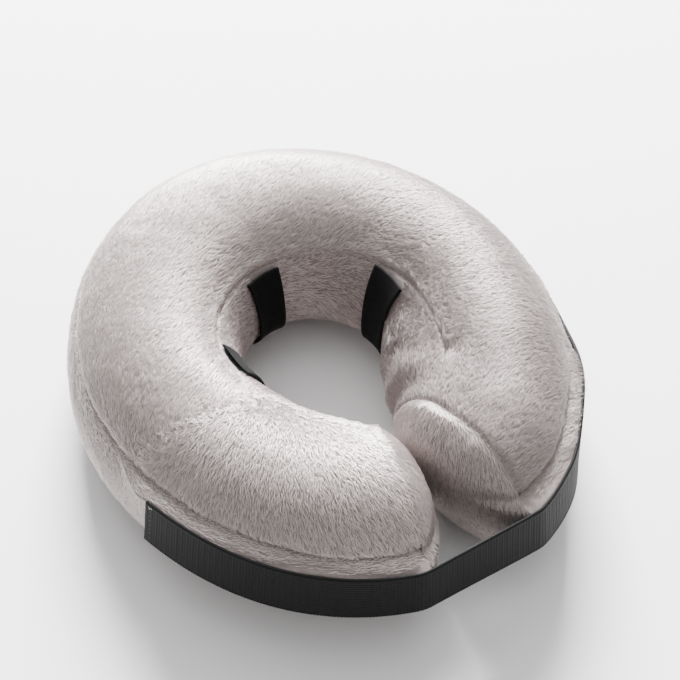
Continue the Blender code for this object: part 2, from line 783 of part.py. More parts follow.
def build_tracks(spread):
    """Tape and coil above and below the seam, and a stop at each end."""
    inset = ZIP_TAPE_INSET / ZIP_R
    for side, sign in (("upper", 1), ("lower", -1)):
        tape = [(sign * up, out) for up, out in TAPE_OUTLINE]
        mesh = arc_sweep(tape, ARC_CLOSED + inset, ARC_OPEN - inset, 16)
        part(f"zip_tape_{side}", mesh, ZIP_GREY, roughness=0.85, parent=spread)
        coil = [(sign * up, out) for up, out in COIL_OUTLINE]
        mesh = arc_sweep(coil, ARC_CLOSED, ARC_OPEN, 16)
        part(f"zip_coil_{side}", mesh, ZIP_GREY, roughness=0.4, parent=spread)
    for end, arc, sign in (("closed", ARC_CLOSED, 1), ("open", ARC_OPEN, -1)):
        near, far = (arc + sign * d / ZIP_R for d in (ZIP_STOP_NEAR, ZIP_STOP_FAR))
        mesh = arc_sweep(STOP_OUTLINE, near, far, 1)
        part(f"zip_stop_{end}", mesh, STOP_GREY, roughness=0.35, metallic=1.0, parent=spread)


def build_slider(spread):
    """An I-shaped slider with its bail; returns the pivot at the arc's centre."""
    place = (2 * RING_X - ZIP_C[0], ZIP_C[1], ZIP_Z)
    slide_pivot = pivot("zip_slide_pivot", place, spread)
    half = ZIP_SLIDER / 2 / ZIP_R
    mesh = arc_sweep(SLIDER_OUTLINE, ARC_SLIDER + half, ARC_SLIDER - half, 2)
    slider = part(
        "zip_slider", mesh, SLIDER_GREY, roughness=0.35, metallic=1.0, parent=slide_pivot
    )
    bail = prism(
        [
            [zip_point(ARC_SLIDER, up, out, along) for along, out in BAIL_OUTLINE]
            for up in (-BAIL_HALF, BAIL_HALF)
        ]
    )
    combine(slider, "UNION", "slider_bail_guide", bail, slide_pivot)
    return slide_pivot


def pull_plate(outline, half):
    """An (along, up) outline made solid to half its thickness each side of the pull's axis."""
    return prism(
        [
            [zip_point(ARC_SLIDER, up, out, along) for along, up in outline]
            for out in (TAB_OUT - half, TAB_OUT + half)
        ]
    )


def build_pull(slide_pivot):
    """The tab hung on the bail, with its eye cut out."""
    pull_pivot = pivot("zip_pull_pivot", zip_point(ARC_SLIDER, 0, TAB_OUT), slide_pivot)
    plate = pull_plate(PULL_OUTLINE, TAB_T / 2)
    pull = part("zip_pull", plate, SLIDER_GREY, roughness=0.35, metallic=1.0, parent=pull_pivot)
    eye = pull_plate(EYE_OUTLINE, EYE_CUT_HALF)
    combine(pull, "DIFFERENCE", "pull_eye_guide", eye, pull_pivot)


# ------------------------------------------------------------------ build
def build_collar():
    for obj in list(bpy.data.objects):
        bpy.data.objects.remove(obj, do_unlink=True)

    # The right half spreads about an upright axis at the middle of the back
    back_y = ring_point(math.pi, half_width(math.pi), 0.0)[1] + SPREAD_OUT
    spread = pivot("spread_pivot", (RING_X, back_y, TUBE_H / 2))

    cover = build_cover(spread)
    bladder_left = build_bladder(spread)
    build_neck_loops(spread)
    build_strap(spread)
    build_loop_patch()
    build_valve(cover["outer_gusset_left"], bladder_left)
    build_tracks(spread)
    build_pull(build_slider(spread))
    bpy.context.view_layer.update()


build_collar()
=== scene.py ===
"""An inflatable recovery collar with a plush cover, a strap, a zip and an air valve.

Metres, +Z up. The collar lies flat on z = 0 as a ring round CENTRE_X, CENTRE_Y. Its opening
faces the front (-Y), the right arm is at +X and the left arm at -X. Angles round the ring
are 0 at the opening, positive on the right arm, and pi at the back. A section angle runs
round the tube: 0 at the outer side, pi/2 on top, pi at the inner side.
"""
import math
from contextlib import contextmanager

import bmesh
import bpy
import numpy as np
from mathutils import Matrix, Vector


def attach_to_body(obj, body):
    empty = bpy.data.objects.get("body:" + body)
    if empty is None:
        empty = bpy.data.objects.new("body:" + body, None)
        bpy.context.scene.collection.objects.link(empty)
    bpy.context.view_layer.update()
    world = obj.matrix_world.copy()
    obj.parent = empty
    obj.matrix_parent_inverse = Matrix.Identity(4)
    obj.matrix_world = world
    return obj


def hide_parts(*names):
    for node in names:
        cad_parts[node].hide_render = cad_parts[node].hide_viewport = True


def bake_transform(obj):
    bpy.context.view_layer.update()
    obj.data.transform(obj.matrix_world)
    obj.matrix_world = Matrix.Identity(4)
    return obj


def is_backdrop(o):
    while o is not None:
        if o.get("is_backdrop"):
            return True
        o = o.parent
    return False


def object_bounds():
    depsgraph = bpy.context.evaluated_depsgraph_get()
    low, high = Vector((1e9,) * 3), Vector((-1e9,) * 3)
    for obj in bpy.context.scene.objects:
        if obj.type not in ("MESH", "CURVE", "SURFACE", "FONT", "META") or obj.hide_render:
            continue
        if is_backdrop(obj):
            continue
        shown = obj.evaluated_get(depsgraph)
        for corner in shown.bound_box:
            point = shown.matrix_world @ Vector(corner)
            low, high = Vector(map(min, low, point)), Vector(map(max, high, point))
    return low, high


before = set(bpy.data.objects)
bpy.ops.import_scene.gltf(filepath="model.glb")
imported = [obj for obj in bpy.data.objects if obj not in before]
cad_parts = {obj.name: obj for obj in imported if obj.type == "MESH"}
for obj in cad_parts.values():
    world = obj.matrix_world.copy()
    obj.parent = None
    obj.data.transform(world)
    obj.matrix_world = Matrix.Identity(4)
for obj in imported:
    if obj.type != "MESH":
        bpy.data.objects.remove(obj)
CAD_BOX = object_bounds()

STRAND_SHARE = 1.0
MM = 0.001

# ---------------------------------------------------------------- driving dimensions
# The same numbers as the CAD part, so that the fabric lies where the CAD panels are.
CENTRE_X, CENTRE_Y = 0.00070, -0.00072
# Radius of the tube's middle line, and its waves 2, 3 and 4 times round
MEAN_RADIUS, RADIUS_WAVE_2, RADIUS_WAVE_3, RADIUS_WAVE_4 = 0.0979, 0.081, 0.0155, 0.011
# Half the tube's width, and its waves 1, 2 and 3 times round
HALF_WIDTH, WIDTH_WAVE_1, WIDTH_WAVE_2, WIDTH_WAVE_3 = 0.0518, -0.015, 0.052, -0.017
HEIGHT = 0.0890
WIDEST_Z = 0.0326
SINK = 0.0015  # how far the full section would reach under the floor
UPPER_DEPTH, LOWER_DEPTH = HEIGHT - WIDEST_Z, WIDEST_Z + SINK
POWER = 2.19  # of the superellipse section

# Section angles of the seams
SEAM_OUT, SEAM_LOW = 0.58, 0.32  # SEAM_LOW is measured downwards
SEAM_IN, SEAM_IN_SWING, SEAM_INLOW = 2.29, -0.217, 3.70
LAP, LAP_IN, SEAM_GAP = 0.008, 0.006, 0.004  # panels pass or stop short of a seam angle

# The arms' ends: half gap at the inner and outer sides, bulge of the end panels, narrowing
GAP_IN, GAP_OUT, BULGE, DOME = 0.0140, 0.0325, 0.0185, 3.0
TAPER, TAPER_SPAN = 0.05, 0.10

STRAP_Z0, STRAP_Z1 = 0.0322, 0.0622
STRAP_MID_Z = (STRAP_Z0 + STRAP_Z1) / 2
STRAP_BRIDGE = 13.0  # the strap runs straight between these angles either side of the opening
STRAP_HINGES = (34.0, STRAP_BRIDGE, -STRAP_BRIDGE, -33.0, -52.0)
STRAP_START, STRAP_END = 82.0, -71.0
STRAP_IN, STRAP_THICK = 0.0031, 0.0014
STRAP_DIP = 0.0160  # how far the sewn end runs down the right arm
LOOPS = {"neck_loop_left": -93.0, "neck_loop_back": -174.0, "neck_loop_right": 101.0}
LOOP_WIDTH = 0.020
ZIP_LO, ZIP_HI = 110.0, 164.0
VALVE_DEG, VALVE_Z = -160.0, 0.0360

# Positions along the ring run from -1 (left end seam) by 0 (back) to 1 (right end seam)
SPLIT = 0.36  # where the back part meets the arm's rigid part
ROW_END = 1.004
BLEND_X = 0.038
BACK_BLEND = ("left_half", "right_half", (-BLEND_X, 0.1, 0.04), (BLEND_X, 0.1, 0.04))


# ---------------------------------------------------------------- shaping curves and noise
def smooth01(x):
    x = np.clip(x, 0, 1)
    return x * x * (3 - 2 * x)


def rise(x, start, span):
    """0 up to start, then smoothly to 1 over the span."""
    return smooth01((x - start) / span)


def fall(x, end, span):
    """Smoothly from 1 to 0 over the span that stops at end."""
    return smooth01((end - x) / span)


def bell(x, width):
    return np.exp(-((x / width) ** 2))


def lattice_hash(ix, iy, iz, seed):
    mix = ix * 374761393 + iy * 668265263 + iz * 2147483647 + seed * 1274126177
    mix = mix & 0xFFFFFFFF
    mix = ((mix ^ (mix >> 13)) * 1274126177) & 0xFFFFFFFF
    return ((mix ^ (mix >> 16)) & 0xFFFF) / 65535.0


def noise3(points, scale, seed=0):
    """Smooth value noise in [-1, 1] with features about scale across."""
    scaled_points = np.asarray(points) / scale
    cell = np.floor(scaled_points).astype(np.int64)
    part = scaled_points - cell
    part = part * part * (3 - 2 * part)
    out = 0
    for dx in (0, 1):
        for dy in (0, 1):
            for dz in (0, 1):
                weight = (
                    (part[..., 0] if dx else 1 - part[..., 0])
                    * (part[..., 1] if dy else 1 - part[..., 1])
                    * (part[..., 2] if dz else 1 - part[..., 2])
                )
                corner = (cell[..., 0] + dx, cell[..., 1] + dy, cell[..., 2] + dz)
                out = out + weight * lattice_hash(*corner, seed)
    return out * 2 - 1


def fractal_noise(points, scale, octaves, seed):
    out, strength, total = 0, 1.0, 0
    for k in range(octaves):
        out = out + strength * noise3(points, scale / 2**k, seed + 11 * k)
        total += strength
        strength *= 0.5
    return out / total


# ---------------------------------------------------------------- the ring's surface
def ring_radius(angle):
    return MEAN_RADIUS * (1 + RADIUS_WAVE_2 * np.cos(2 * angle)
                          + RADIUS_WAVE_3 * np.cos(3 * angle) + RADIUS_WAVE_4 * np.cos(4 * angle))


def ring_half_width(angle):
    return HALF_WIDTH * (1 + WIDTH_WAVE_1 * np.cos(angle)
                         + WIDTH_WAVE_2 * np.cos(2 * angle) + WIDTH_WAVE_3 * np.cos(3 * angle))


def plan_point(angle, radius):
    return np.stack([CENTRE_X + radius * np.sin(angle), CENTRE_Y - radius * np.cos(angle)], -1)


def ring_point(angle, radius, z):
    return np.concatenate([plan_point(angle, radius), (z + 0 * radius)[..., None]], -1)


def signed_power(value, exponent):
    return np.sign(value) * np.abs(value) ** exponent


def section(half_width, turn, offset, shrink=1.0):
    """Distance out from the tube's middle line, and height, at section angle turn."""
    depth = np.where(np.sin(turn) > 0, UPPER_DEPTH, LOWER_DEPTH) * shrink
    half_width = half_width * shrink
    unit_out = signed_power(np.cos(turn), 2 / POWER)
    unit_up = signed_power(np.sin(turn), 2 / POWER)
    slope_out = signed_power(unit_out, POWER - 1) / half_width
    slope_up = signed_power(unit_up, POWER - 1) / depth
    slope = np.hypot(slope_out, slope_up) + 1e-12
    out = half_width * unit_out + offset * slope_out / slope
    z = WIDEST_Z + depth * unit_up + offset * slope_up / slope
    return out, np.maximum(z, -offset)


def seam_in(angle):
    return SEAM_IN + SEAM_IN_SWING * np.cos(angle)


def columns(start, end, count):
    """A function from the ring angle to section angles spaced between two seams."""
    share = np.linspace(0, 1, count)

    def seam_angle(seam, angle):
        return seam(angle) if callable(seam) else seam + 0 * angle

    def turns(angle):
        first = seam_angle(start, angle)
        return first + (seam_angle(end, angle) - first) * share

    return turns


def whole_section(top, inner, bottom, outer):
    """Columns of the four panels in turn, which close the section."""
    return [
        columns(SEAM_OUT, seam_in, top),
        columns(seam_in, SEAM_INLOW, inner),
        columns(SEAM_INLOW, 2 * math.pi - SEAM_LOW, bottom),
        columns(-SEAM_LOW, SEAM_OUT, outer),
    ]


def end_angle(turns, offset):
    """Ring angle of the end seam for each column, by repeated substitution."""
    angle = np.full(np.shape(turns(np.float64(0.2))), 0.2)
    for _ in range(14):
        half_width = ring_half_width(angle)
        out, _z = section(half_width, turns(angle), offset, 1 - TAPER)
        end_x = GAP_IN + (GAP_OUT - GAP_IN) * (out + half_width) / (2 * half_width)
        angle = np.arcsin(end_x / (ring_radius(angle) + out))
    return angle


def surface(rows, turns, offset):
    """Points and signed ring angles for positions along the ring (rows) and the columns."""
    rows = np.asarray(rows, float)[:, None]
    distance = np.abs(rows)
    angle = math.pi + (end_angle(turns, offset)[None, :] - math.pi) * distance
    near_end = np.clip((distance - (1 - TAPER_SPAN)) / TAPER_SPAN, 0, None)
    shrink = 1 - TAPER * near_end * near_end
    out, z = section(ring_half_width(angle), turns(angle), offset, shrink)
    signed = angle * np.where(rows < 0, -1.0, 1.0)
    return ring_point(signed, ring_radius(angle) + out, z), signed


def outline(deg):
    """Plan point on the ring's widest line, and the outward direction there."""

    def widest(at):
        angle = math.radians(at)
        return plan_point(angle, ring_radius(angle) + ring_half_width(angle))

    way = widest(deg + 0.05) - widest(deg - 0.05)
    way /= np.linalg.norm(way)
    return widest(deg), np.array([way[1], -way[0]])


def from_centre(points):
    return points[..., 0] - CENTRE_X, points[..., 1] - CENTRE_Y


def outward(points):
    """Level unit vectors away from the ring's centre."""
    x, y = from_centre(points)
    out = np.stack([x, y, 0 * x], -1)
    return out / (np.linalg.norm(out, axis=-1, keepdims=True) + 1e-9)


def grid_normals(points):
    normals = np.cross(np.gradient(points, axis=0), np.gradient(points, axis=1))
    return normals / (np.linalg.norm(normals, axis=-1, keepdims=True) + 1e-15)


def arc_length(points, axis):
    steps = np.linalg.norm(np.diff(points, axis=axis), axis=-1)
    pad = [(0, 0), (0, 0)]
    pad[axis] = (1, 0)
    return np.pad(np.cumsum(steps, axis=axis), pad)


# The air valve's place on the outer wall, and its own directions
_valve_angle = math.radians(VALVE_DEG)
_valve_turn = math.asin(((VALVE_Z - WIDEST_Z) / UPPER_DEPTH) ** (POWER / 2))
_valve_out, _valve_z = section(ring_half_width(_valve_angle), np.float64(_valve_turn), 0.0)
VALVE_CENTRE = ring_point(_valve_angle, ring_radius(_valve_angle) + _valve_out, _valve_z)
VALVE_OUT = np.array([*outline(VALVE_DEG)[1], 0.0])
VALVE_UP = np.array([0.0, 0.0, 1.0])
VALVE_SIDE = np.cross(VALVE_UP, VALVE_OUT)


def valve_parts(vertex):
    """A vertex's distance out from the valve's plane, and its vector within that plane."""
    offset = np.array(vertex.co) - VALVE_CENTRE
    height = offset @ VALVE_OUT
    return height, offset - VALVE_OUT * height


# ---------------------------------------------------------------- mesh helpers
@contextmanager
def editing(mesh):
    bm = bmesh.new()
    bm.from_mesh(mesh)
    yield bm
    bm.to_mesh(mesh)
    bm.free()


def add_object(name, mesh, material):
    ob = bpy.data.objects.new(name, mesh)
    bpy.context.scene.collection.objects.link(ob)
    mesh.materials.append(material)
    return ob


def add_attribute(mesh, key, values):
    """A value on each point: "nap" is a direction, all others are plain numbers."""
    values = np.asarray(values, np.float32).ravel()
    if key == "nap":
        mesh.attributes.new(key, "FLOAT_VECTOR", "POINT").data.foreach_set("vector", values)
    else:
        mesh.attributes.new(key, "FLOAT", "POINT").data.foreach_set("value", values)


def grid_mesh(name, points, material, flip=False, wrap=False, attributes=None):
    """A smooth quad mesh over a grid of points."""
    rows, count = points.shape[:2]
    index = np.arange(rows * count).reshape(rows, count)
    if wrap:
        index = np.concatenate([index, index[:, :1]], 1)
    corners = [index[:-1, :-1], index[1:, :-1], index[1:, 1:], index[:-1, 1:]]
    quads = np.stack(corners, -1).reshape(-1, 4)
    if flip:
        quads = quads[:, ::-1]
    mesh = bpy.data.meshes.new(name)
    mesh.vertices.add(rows * count)
    mesh.vertices.foreach_set("co", points.reshape(-1, 3).astype(np.float32).ravel())
    mesh.loops.add(quads.size)
    mesh.loops.foreach_set("vertex_index", quads.ravel().astype(np.int32))
    mesh.polygons.add(len(quads))
    mesh.polygons.foreach_set("loop_start", np.arange(0, quads.size, 4, dtype=np.int32))
    mesh.update(calc_edges=True)
    mesh.polygons.foreach_set("use_smooth", np.ones(len(quads), bool))
    for key, values in (attributes or {}).items():
        add_attribute(mesh, key, values)
    mesh.validate()
    return add_object(name, mesh, material)


def smooth_faces(bm):
    bmesh.ops.recalc_face_normals(bm, faces=bm.faces)
    for face in bm.faces:
        face.smooth = True


def fill_near(bm, middle):
    """Close the small hole left round the middle of a cap."""
    middle = Vector(middle)
    edges = [e for e in bm.edges if e.is_boundary and (e.verts[0].co - middle).length < 0.02]
    bmesh.ops.holes_fill(bm, edges=edges, sides=0)


def capped_sweep(name, points, material):
    """A solid from rows of closed outlines, capped at both ends."""
    ob = grid_mesh(name, points, material, wrap=True)
    with editing(ob.data) as bm:
        bmesh.ops.holes_fill(bm, edges=[e for e in bm.edges if e.is_boundary], sides=0)
        smooth_faces(bm)
    return ob


def slab(name, outer, inner, material):
    """A closed sheet between two grids."""
    return capped_sweep(name, np.concatenate([outer, inner[:, ::-1]], 1), material)


def mesh_object(name, verts, faces, material, smooth=True):
    mesh = bpy.data.meshes.new(name)
    mesh.from_pydata([tuple(v) for v in verts], [], [tuple(f) for f in faces])
    with editing(mesh) as bm:
        bmesh.ops.recalc_face_normals(bm, faces=bm.faces)
    if smooth:
        mesh.shade_smooth()
    return add_object(name, mesh, material)


def tube_faces(first, rings, sides, closed=False):
    """Quads between rings of vertices; a closed tube joins its last ring to its first."""
    faces = []
    for i in range(rings if closed else rings - 1):
        low, high = first + i * sides, first + (i + 1) % rings * sides
        for j in range(sides):
            after = (j + 1) % sides
            faces.append((low + j, low + after, high + after, high + j))
    return faces


def attach(ob, body, cad=()):
    """Tie an object to a body, or for a blend of two bodies only bake its placement, and hide its CAD
    pieces.
    """
    if isinstance(body, str):
        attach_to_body(ob, body)
    else:
        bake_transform(ob)
    if cad:
        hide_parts(*cad)


# ---------------------------------------------------------------- materials
def set_inputs(tree, node, inputs):
    """Link each input that is given a socket; set the value of the others."""
    for key, value in inputs.items():
        if isinstance(value, bpy.types.NodeSocket):
            tree.links.new(value, node.inputs[key])
        else:
            node.inputs[key].default_value = value


def add_node(tree, kind, inputs=None, **settings):
    node = tree.nodes.new(kind)
    for key, value in settings.items():
        setattr(node, key, value)
    set_inputs(tree, node, inputs or {})
    return node


def new_material(name):
    material = bpy.data.materials.new(name)
    material.use_nodes = True
    return material, material.node_tree, material.node_tree.nodes["Principled BSDF"]


def scaled(rgb, gain):
    return tuple(min(1.0, channel * gain) for channel in rgb)


def add_ramp(tree, source, rgb, stops):
    """A colour ramp of rgb; each stop is (position, gain)."""
    ramp = add_node(tree, "ShaderNodeValToRGB", {"Fac": source})
    elements = ramp.color_ramp.elements
    for element, (position, gain) in ((elements[0], stops[0]), (elements[1], stops[-1])):
        element.position = position
        element.color = (*scaled(rgb, gain), 1)
    for position, gain in stops[1:-1]:
        elements.new(position).color = (*scaled(rgb, gain), 1)
    return ramp.outputs["Color"]


def mottled_material(name, rgb, scale, detail, roughness, stops, bump, strength, surface_values):
    """Noise drives both the colour and the bump; surface_values go to the shader."""
    material, tree, shader = new_material(name)
    place = add_node(tree, "ShaderNodeTexCoord")
    noise = add_node(tree, "ShaderNodeTexNoise", {
        "Scale": scale, "Detail": detail, "Roughness": roughness,
        "Vector": place.outputs["Object"]})
    relief = add_node(tree, "ShaderNodeBump", {
        "Distance": bump, "Strength": strength, "Height": noise.outputs["Fac"]})
    set_inputs(tree, shader, {
        "Base Color": add_ramp(tree, noise.outputs["Fac"], rgb, stops),
        "Normal": relief.outputs["Normal"], **surface_values})
    return material


def backing_material(name, rgb):
    """The cloth under the pile."""
    return mottled_material(
        name, rgb, scale=420, detail=4, roughness=0.7, stops=[(0.32, 0.72), (0.68, 0.98)],
        bump=0.0004, strength=0.6, surface_values={
            "Roughness": 0.95, "Specular IOR Level": 0.15,
            "Sheen Weight": 0.25, "Sheen Roughness": 0.45})


def webbing_material(name, rgb, scale, rough, spec, sheen, bump=0.00012):
    return mottled_material(
        name, rgb, scale=scale, detail=3, roughness=0.6, stops=[(0.3, 0.7), (0.7, 1.35)],
        bump=bump, strength=0.7, surface_values={
            "Roughness": rough, "Specular IOR Level": spec, "Sheen Weight": sheen})


def vinyl_material(name, rgb, transmission, rough):
    return mottled_material(
        name, rgb, scale=90, detail=2, roughness=0.5, stops=[(0.35, 0.93), (0.65, 1.0)],
        bump=0.0003, strength=0.3, surface_values={
            "Roughness": rough, "Transmission Weight": transmission, "IOR": 1.45})


def metal_material(name, rgb):
    return mottled_material(
        name, rgb, scale=700, detail=3, roughness=0.6, stops=[(0.3, 0.85), (0.7, 1.0)],
        bump=0.00005, strength=0.4, surface_values={"Metallic": 1.0, "Roughness": 0.3})


def fibre_material(name, rgb, root):
    """Strands with painted shade towards the root and lighter tips, each a touch different."""
    material, tree, shader = new_material(name)
    hair = add_node(tree, "ShaderNodeHairInfo")
    # painted shade deep in the pile: the colour darkens towards each strand's root and lightens at
    # its tip
    colour = add_ramp(tree, hair.outputs["Intercept"], rgb,
                      [(0.0, root), (0.45, 0.88), (1.0, 1.20)])
    vary = add_node(tree, "ShaderNodeMapRange", {
        "To Min": 0.76, "To Max": 1.20, "Value": hair.outputs["Random"]})
    # painted shading, read from the cloth, darkens or lightens each strand's colour
    tone = add_node(tree, "ShaderNodeAttribute", attribute_name="tone").outputs["Fac"]
    shade = add_node(tree, "ShaderNodeMath", {0: vary.outputs["Result"], 1: tone},
                     operation="MULTIPLY")
    tinted = add_node(tree, "ShaderNodeHueSaturation", {
        "Value": shade.outputs[0], "Color": colour})
    # the painted shading also scales the sheen: weaker where shaded, stronger where lit
    gloss = add_node(tree, "ShaderNodeMath", {0: tone, 1: 2.5}, operation="POWER")
    # pressed-flat pile shines like satin, so a strand is lit mostly as the cloth under it is
    cloth = add_node(tree, "ShaderNodeAttribute", attribute_name="cloth_normal")
    cloth_world = add_node(
        tree, "ShaderNodeVectorTransform", {"Vector": cloth.outputs["Vector"]},
        vector_type="NORMAL", convert_from="OBJECT", convert_to="WORLD")
    geometry = add_node(tree, "ShaderNodeNewGeometry")
    own = add_node(tree, "ShaderNodeVectorMath", operation="SCALE",
                   inputs={0: geometry.outputs["Normal"], "Scale": 0.55})
    both = add_node(tree, "ShaderNodeVectorMath", operation="ADD",
                    inputs={0: cloth_world.outputs["Vector"], 1: own.outputs[0]})
    unit = add_node(tree, "ShaderNodeVectorMath", {0: both.outputs[0]}, operation="NORMALIZE")
    set_inputs(tree, shader, {
        "Specular IOR Level": gloss.outputs[0], "Base Color": tinted.outputs["Color"],
        "Roughness": 0.38, "IOR": 1.9, "Specular Tint": (1.0, 0.90, 0.865, 1.0),
        "Normal": unit.outputs[0]})
    return material


PILE = (0.380, 0.324, 0.310)
# the inner band's copy of the plush colour, set for the shade it sits in: its pile painted a touch
# lighter
PILE_BAND_PAINTED_LIGHT = (0.39, 0.327, 0.319)

LOOK = {
    "plush": backing_material("plush_backing", scaled(PILE, 0.72)),
    # the inner band's backing is darkened as painted shade
    "band": backing_material("band_backing", scaled(PILE_BAND_PAINTED_LIGHT, 0.6)),
    "pile": fibre_material("plush_pile", PILE, root=0.50),
    "pile_band_painted_light": fibre_material("band_pile", PILE_BAND_PAINTED_LIGHT, root=0.55),
    # the end panels' pile is a copy of the plush colour darkened as painted shade
    "pile_end_painted_shade": fibre_material("end_pile", scaled(PILE, 0.86), root=0.60),
    "loop": webbing_material("loop_webbing", (0.0022, 0.0022, 0.0024),
                             scale=900, rough=0.85, spec=0.12, sheen=0.02),
    "strap": webbing_material("strap_webbing", (0.0020, 0.0020, 0.0021),
                              scale=1100, rough=0.6, spec=0.12, sheen=0.0),
    "hook": webbing_material("hook_tape", (0.012, 0.012, 0.013),
                             scale=700, rough=0.45, spec=0.45, sheen=0.0),
    "patch": webbing_material("loop_patch", (0.010, 0.010, 0.011),
                              scale=1400, rough=0.9, spec=0.2, sheen=0.3),
    "patch_pile": fibre_material("loop_patch_pile", (0.016, 0.016, 0.018), root=0.6),
    "thread": webbing_material("sewing_thread", (0.014, 0.014, 0.015),
                               scale=2200, rough=0.6, spec=0.4, sheen=0.1, bump=0.00005),
    "vinyl": vinyl_material("valve_vinyl", (0.80, 0.84, 0.86), transmission=0.55, rough=0.28),
    "film": vinyl_material("bladder_film", (0.70, 0.75, 0.78), transmission=0.35, rough=0.22),
    "zip_tape": webbing_material("zip_tape_weave", (0.33, 0.31, 0.305),
                                 scale=1500, rough=0.85, spec=0.25, sheen=0.1),
    "zip_coil": webbing_material("zip_coil_nylon", (0.36, 0.34, 0.335),
                                 scale=600, rough=0.4, spec=0.5, sheen=0.0, bump=0.00003),
    "zip_metal": metal_material("zip_metal", (0.55, 0.55, 0.57)),
}

# ---------------------------------------------------------------- pile made of strands
DENSITY = 1.2e6  # strands per square metre
STRAND_LENGTH = 0.0034
STRAND_RADIUS = 0.00015


def add_pile(ob, material, density, seed, length=STRAND_LENGTH, radius=STRAND_RADIUS,
             lift=0.30, jitter=0.20, clump=0.32):
    """Strands over the object, lying along its "nap", thinned by "fur" and sized by "len"."""
    tree = bpy.data.node_groups.new(f"{ob.name}_pile", "GeometryNodeTree")
    for way in ("INPUT", "OUTPUT"):
        tree.interface.new_socket("Geometry", in_out=way, socket_type="NodeSocketGeometry")

    def add(kind, inputs=None, **settings):
        return add_node(tree, kind, inputs, **settings)

    def attribute(name, data_type="FLOAT"):
        node = add("GeometryNodeInputNamedAttribute", {"Name": name}, data_type=data_type)
        return node.outputs["Attribute"]

    cloth = add("GeometryNodeObjectInfo", {"Object": ob}, transform_space="RELATIVE")
    output = add("NodeGroupOutput")
    fur = attribute("fur")
    nap = attribute("nap", "FLOAT_VECTOR")
    thinned = add("ShaderNodeMath", {0: fur, 1: density * STRAND_SHARE}, operation="MULTIPLY")
    roots = add("GeometryNodeDistributePointsOnFaces", {
        "Seed": seed, "Mesh": cloth.outputs["Geometry"], "Density": thinned.outputs[0],
    }, distribute_method="RANDOM")

    # neighbouring strands swing together, away from the nap
    position = add("GeometryNodeInputPosition").outputs[0]
    swirl = add("ShaderNodeTexNoise", {"Scale": 300.0, "Detail": 2.0, "Vector": position})
    centred = add("ShaderNodeVectorMath", {0: swirl.outputs["Color"], 1: (0.5, 0.5, 0.5)},
                  operation="SUBTRACT")
    swing = add("ShaderNodeVectorMath", {0: centred.outputs[0], "Scale": clump * 3.0},
                operation="SCALE")
    lie = add("ShaderNodeVectorMath", {0: nap, 1: swing.outputs[0]}, operation="ADD")

    upright = add("FunctionNodeAlignRotationToVector", {"Vector": roots.outputs["Normal"]},
                  axis="Z")
    combed = add("FunctionNodeAlignRotationToVector", {
        "Rotation": upright.outputs[0], "Vector": lie.outputs[0]}, axis="X", pivot_axis="Z")
    scatter = add("FunctionNodeRandomValue", {
        0: (-jitter * 0.5, -jitter * 0.8, -jitter), 1: (jitter * 0.5, jitter * 0.4, jitter),
        "Seed": seed + 3}, data_type="FLOAT_VECTOR")
    scatter_turn = add("FunctionNodeEulerToRotation", {0: scatter.outputs[0]})
    rotation = add("FunctionNodeRotateRotation", {
        0: combed.outputs[0], 1: scatter_turn.outputs[0]}, rotation_space="LOCAL")

    # one strand: it starts just under the cloth, rises and then lies over
    curve = add("GeometryNodeCurveQuadraticBezier", {
        "Resolution": 3, "Start": (0, 0, -0.0002),
        "Middle": (length * 0.30, 0, length * lift),
        "End": (length * 0.95, 0, length * lift * 0.95)})
    along = add("GeometryNodeSplineParameter")
    taper = add("ShaderNodeMapRange", {
        "To Min": radius, "To Max": radius * 0.30, "Value": along.outputs["Factor"]})
    strand = add("GeometryNodeSetCurveRadius", {
        0: curve.outputs[0], "Radius": taper.outputs["Result"]})

    # its size: random, by the "len" attribute, and in tufts
    size = add("FunctionNodeRandomValue", {2: 0.70, 3: 1.15, "Seed": seed + 5},
               data_type="FLOAT")
    own_size = add("ShaderNodeMath", {0: size.outputs[1], 1: attribute("len")},
                   operation="MULTIPLY")
    tuft = add("ShaderNodeTexNoise", {"Scale": 330.0, "Detail": 1.0, "Vector": position})
    tuft_size = add("ShaderNodeMapRange", {
        "From Min": 0.3, "From Max": 0.7, "To Min": 0.78, "To Max": 1.18,
        "Value": tuft.outputs["Fac"]})
    full_size = add("ShaderNodeMath", {0: own_size.outputs[0], 1: tuft_size.outputs["Result"]},
                    operation="MULTIPLY")

    kept = add("GeometryNodeStoreNamedAttribute", data_type="FLOAT_VECTOR", domain="POINT")
    set_inputs(tree, kept, {
        "Name": "cloth_normal", "Geometry": roots.outputs["Points"],
        "Value": roots.outputs["Normal"]})
    placed = add("GeometryNodeInstanceOnPoints", {
        "Points": kept.outputs["Geometry"], "Instance": strand.outputs[0],
        "Rotation": rotation.outputs[0], "Scale": full_size.outputs[0]})
    real = add("GeometryNodeRealizeInstances", {0: placed.outputs[0]})
    dressed = add("GeometryNodeSetMaterial", {"Material": material, 0: real.outputs[0]})
    tree.links.new(dressed.outputs[0], output.inputs[0])

    name = f"{ob.name}_strands"
    strands = add_object(name, bpy.data.hair_curves.new(name), material)
    strands.parent = ob
    strands.modifiers.new("pile", "NODES").node_group = tree


# ---------------------------------------------------------------- plush panels
BACKING_OFFSET = -0.0009  # the backing lies under the CAD surface; the pile fills up to it
FLOOR_CLEARANCE = 0.0003


def rows_between(low, high):
    """Positions along the ring, about 1.2 mm apart on an arm 0.44 m long."""
    return np.linspace(low, high, max(8, int(round(abs(high - low) * 0.44 / 0.0012))))


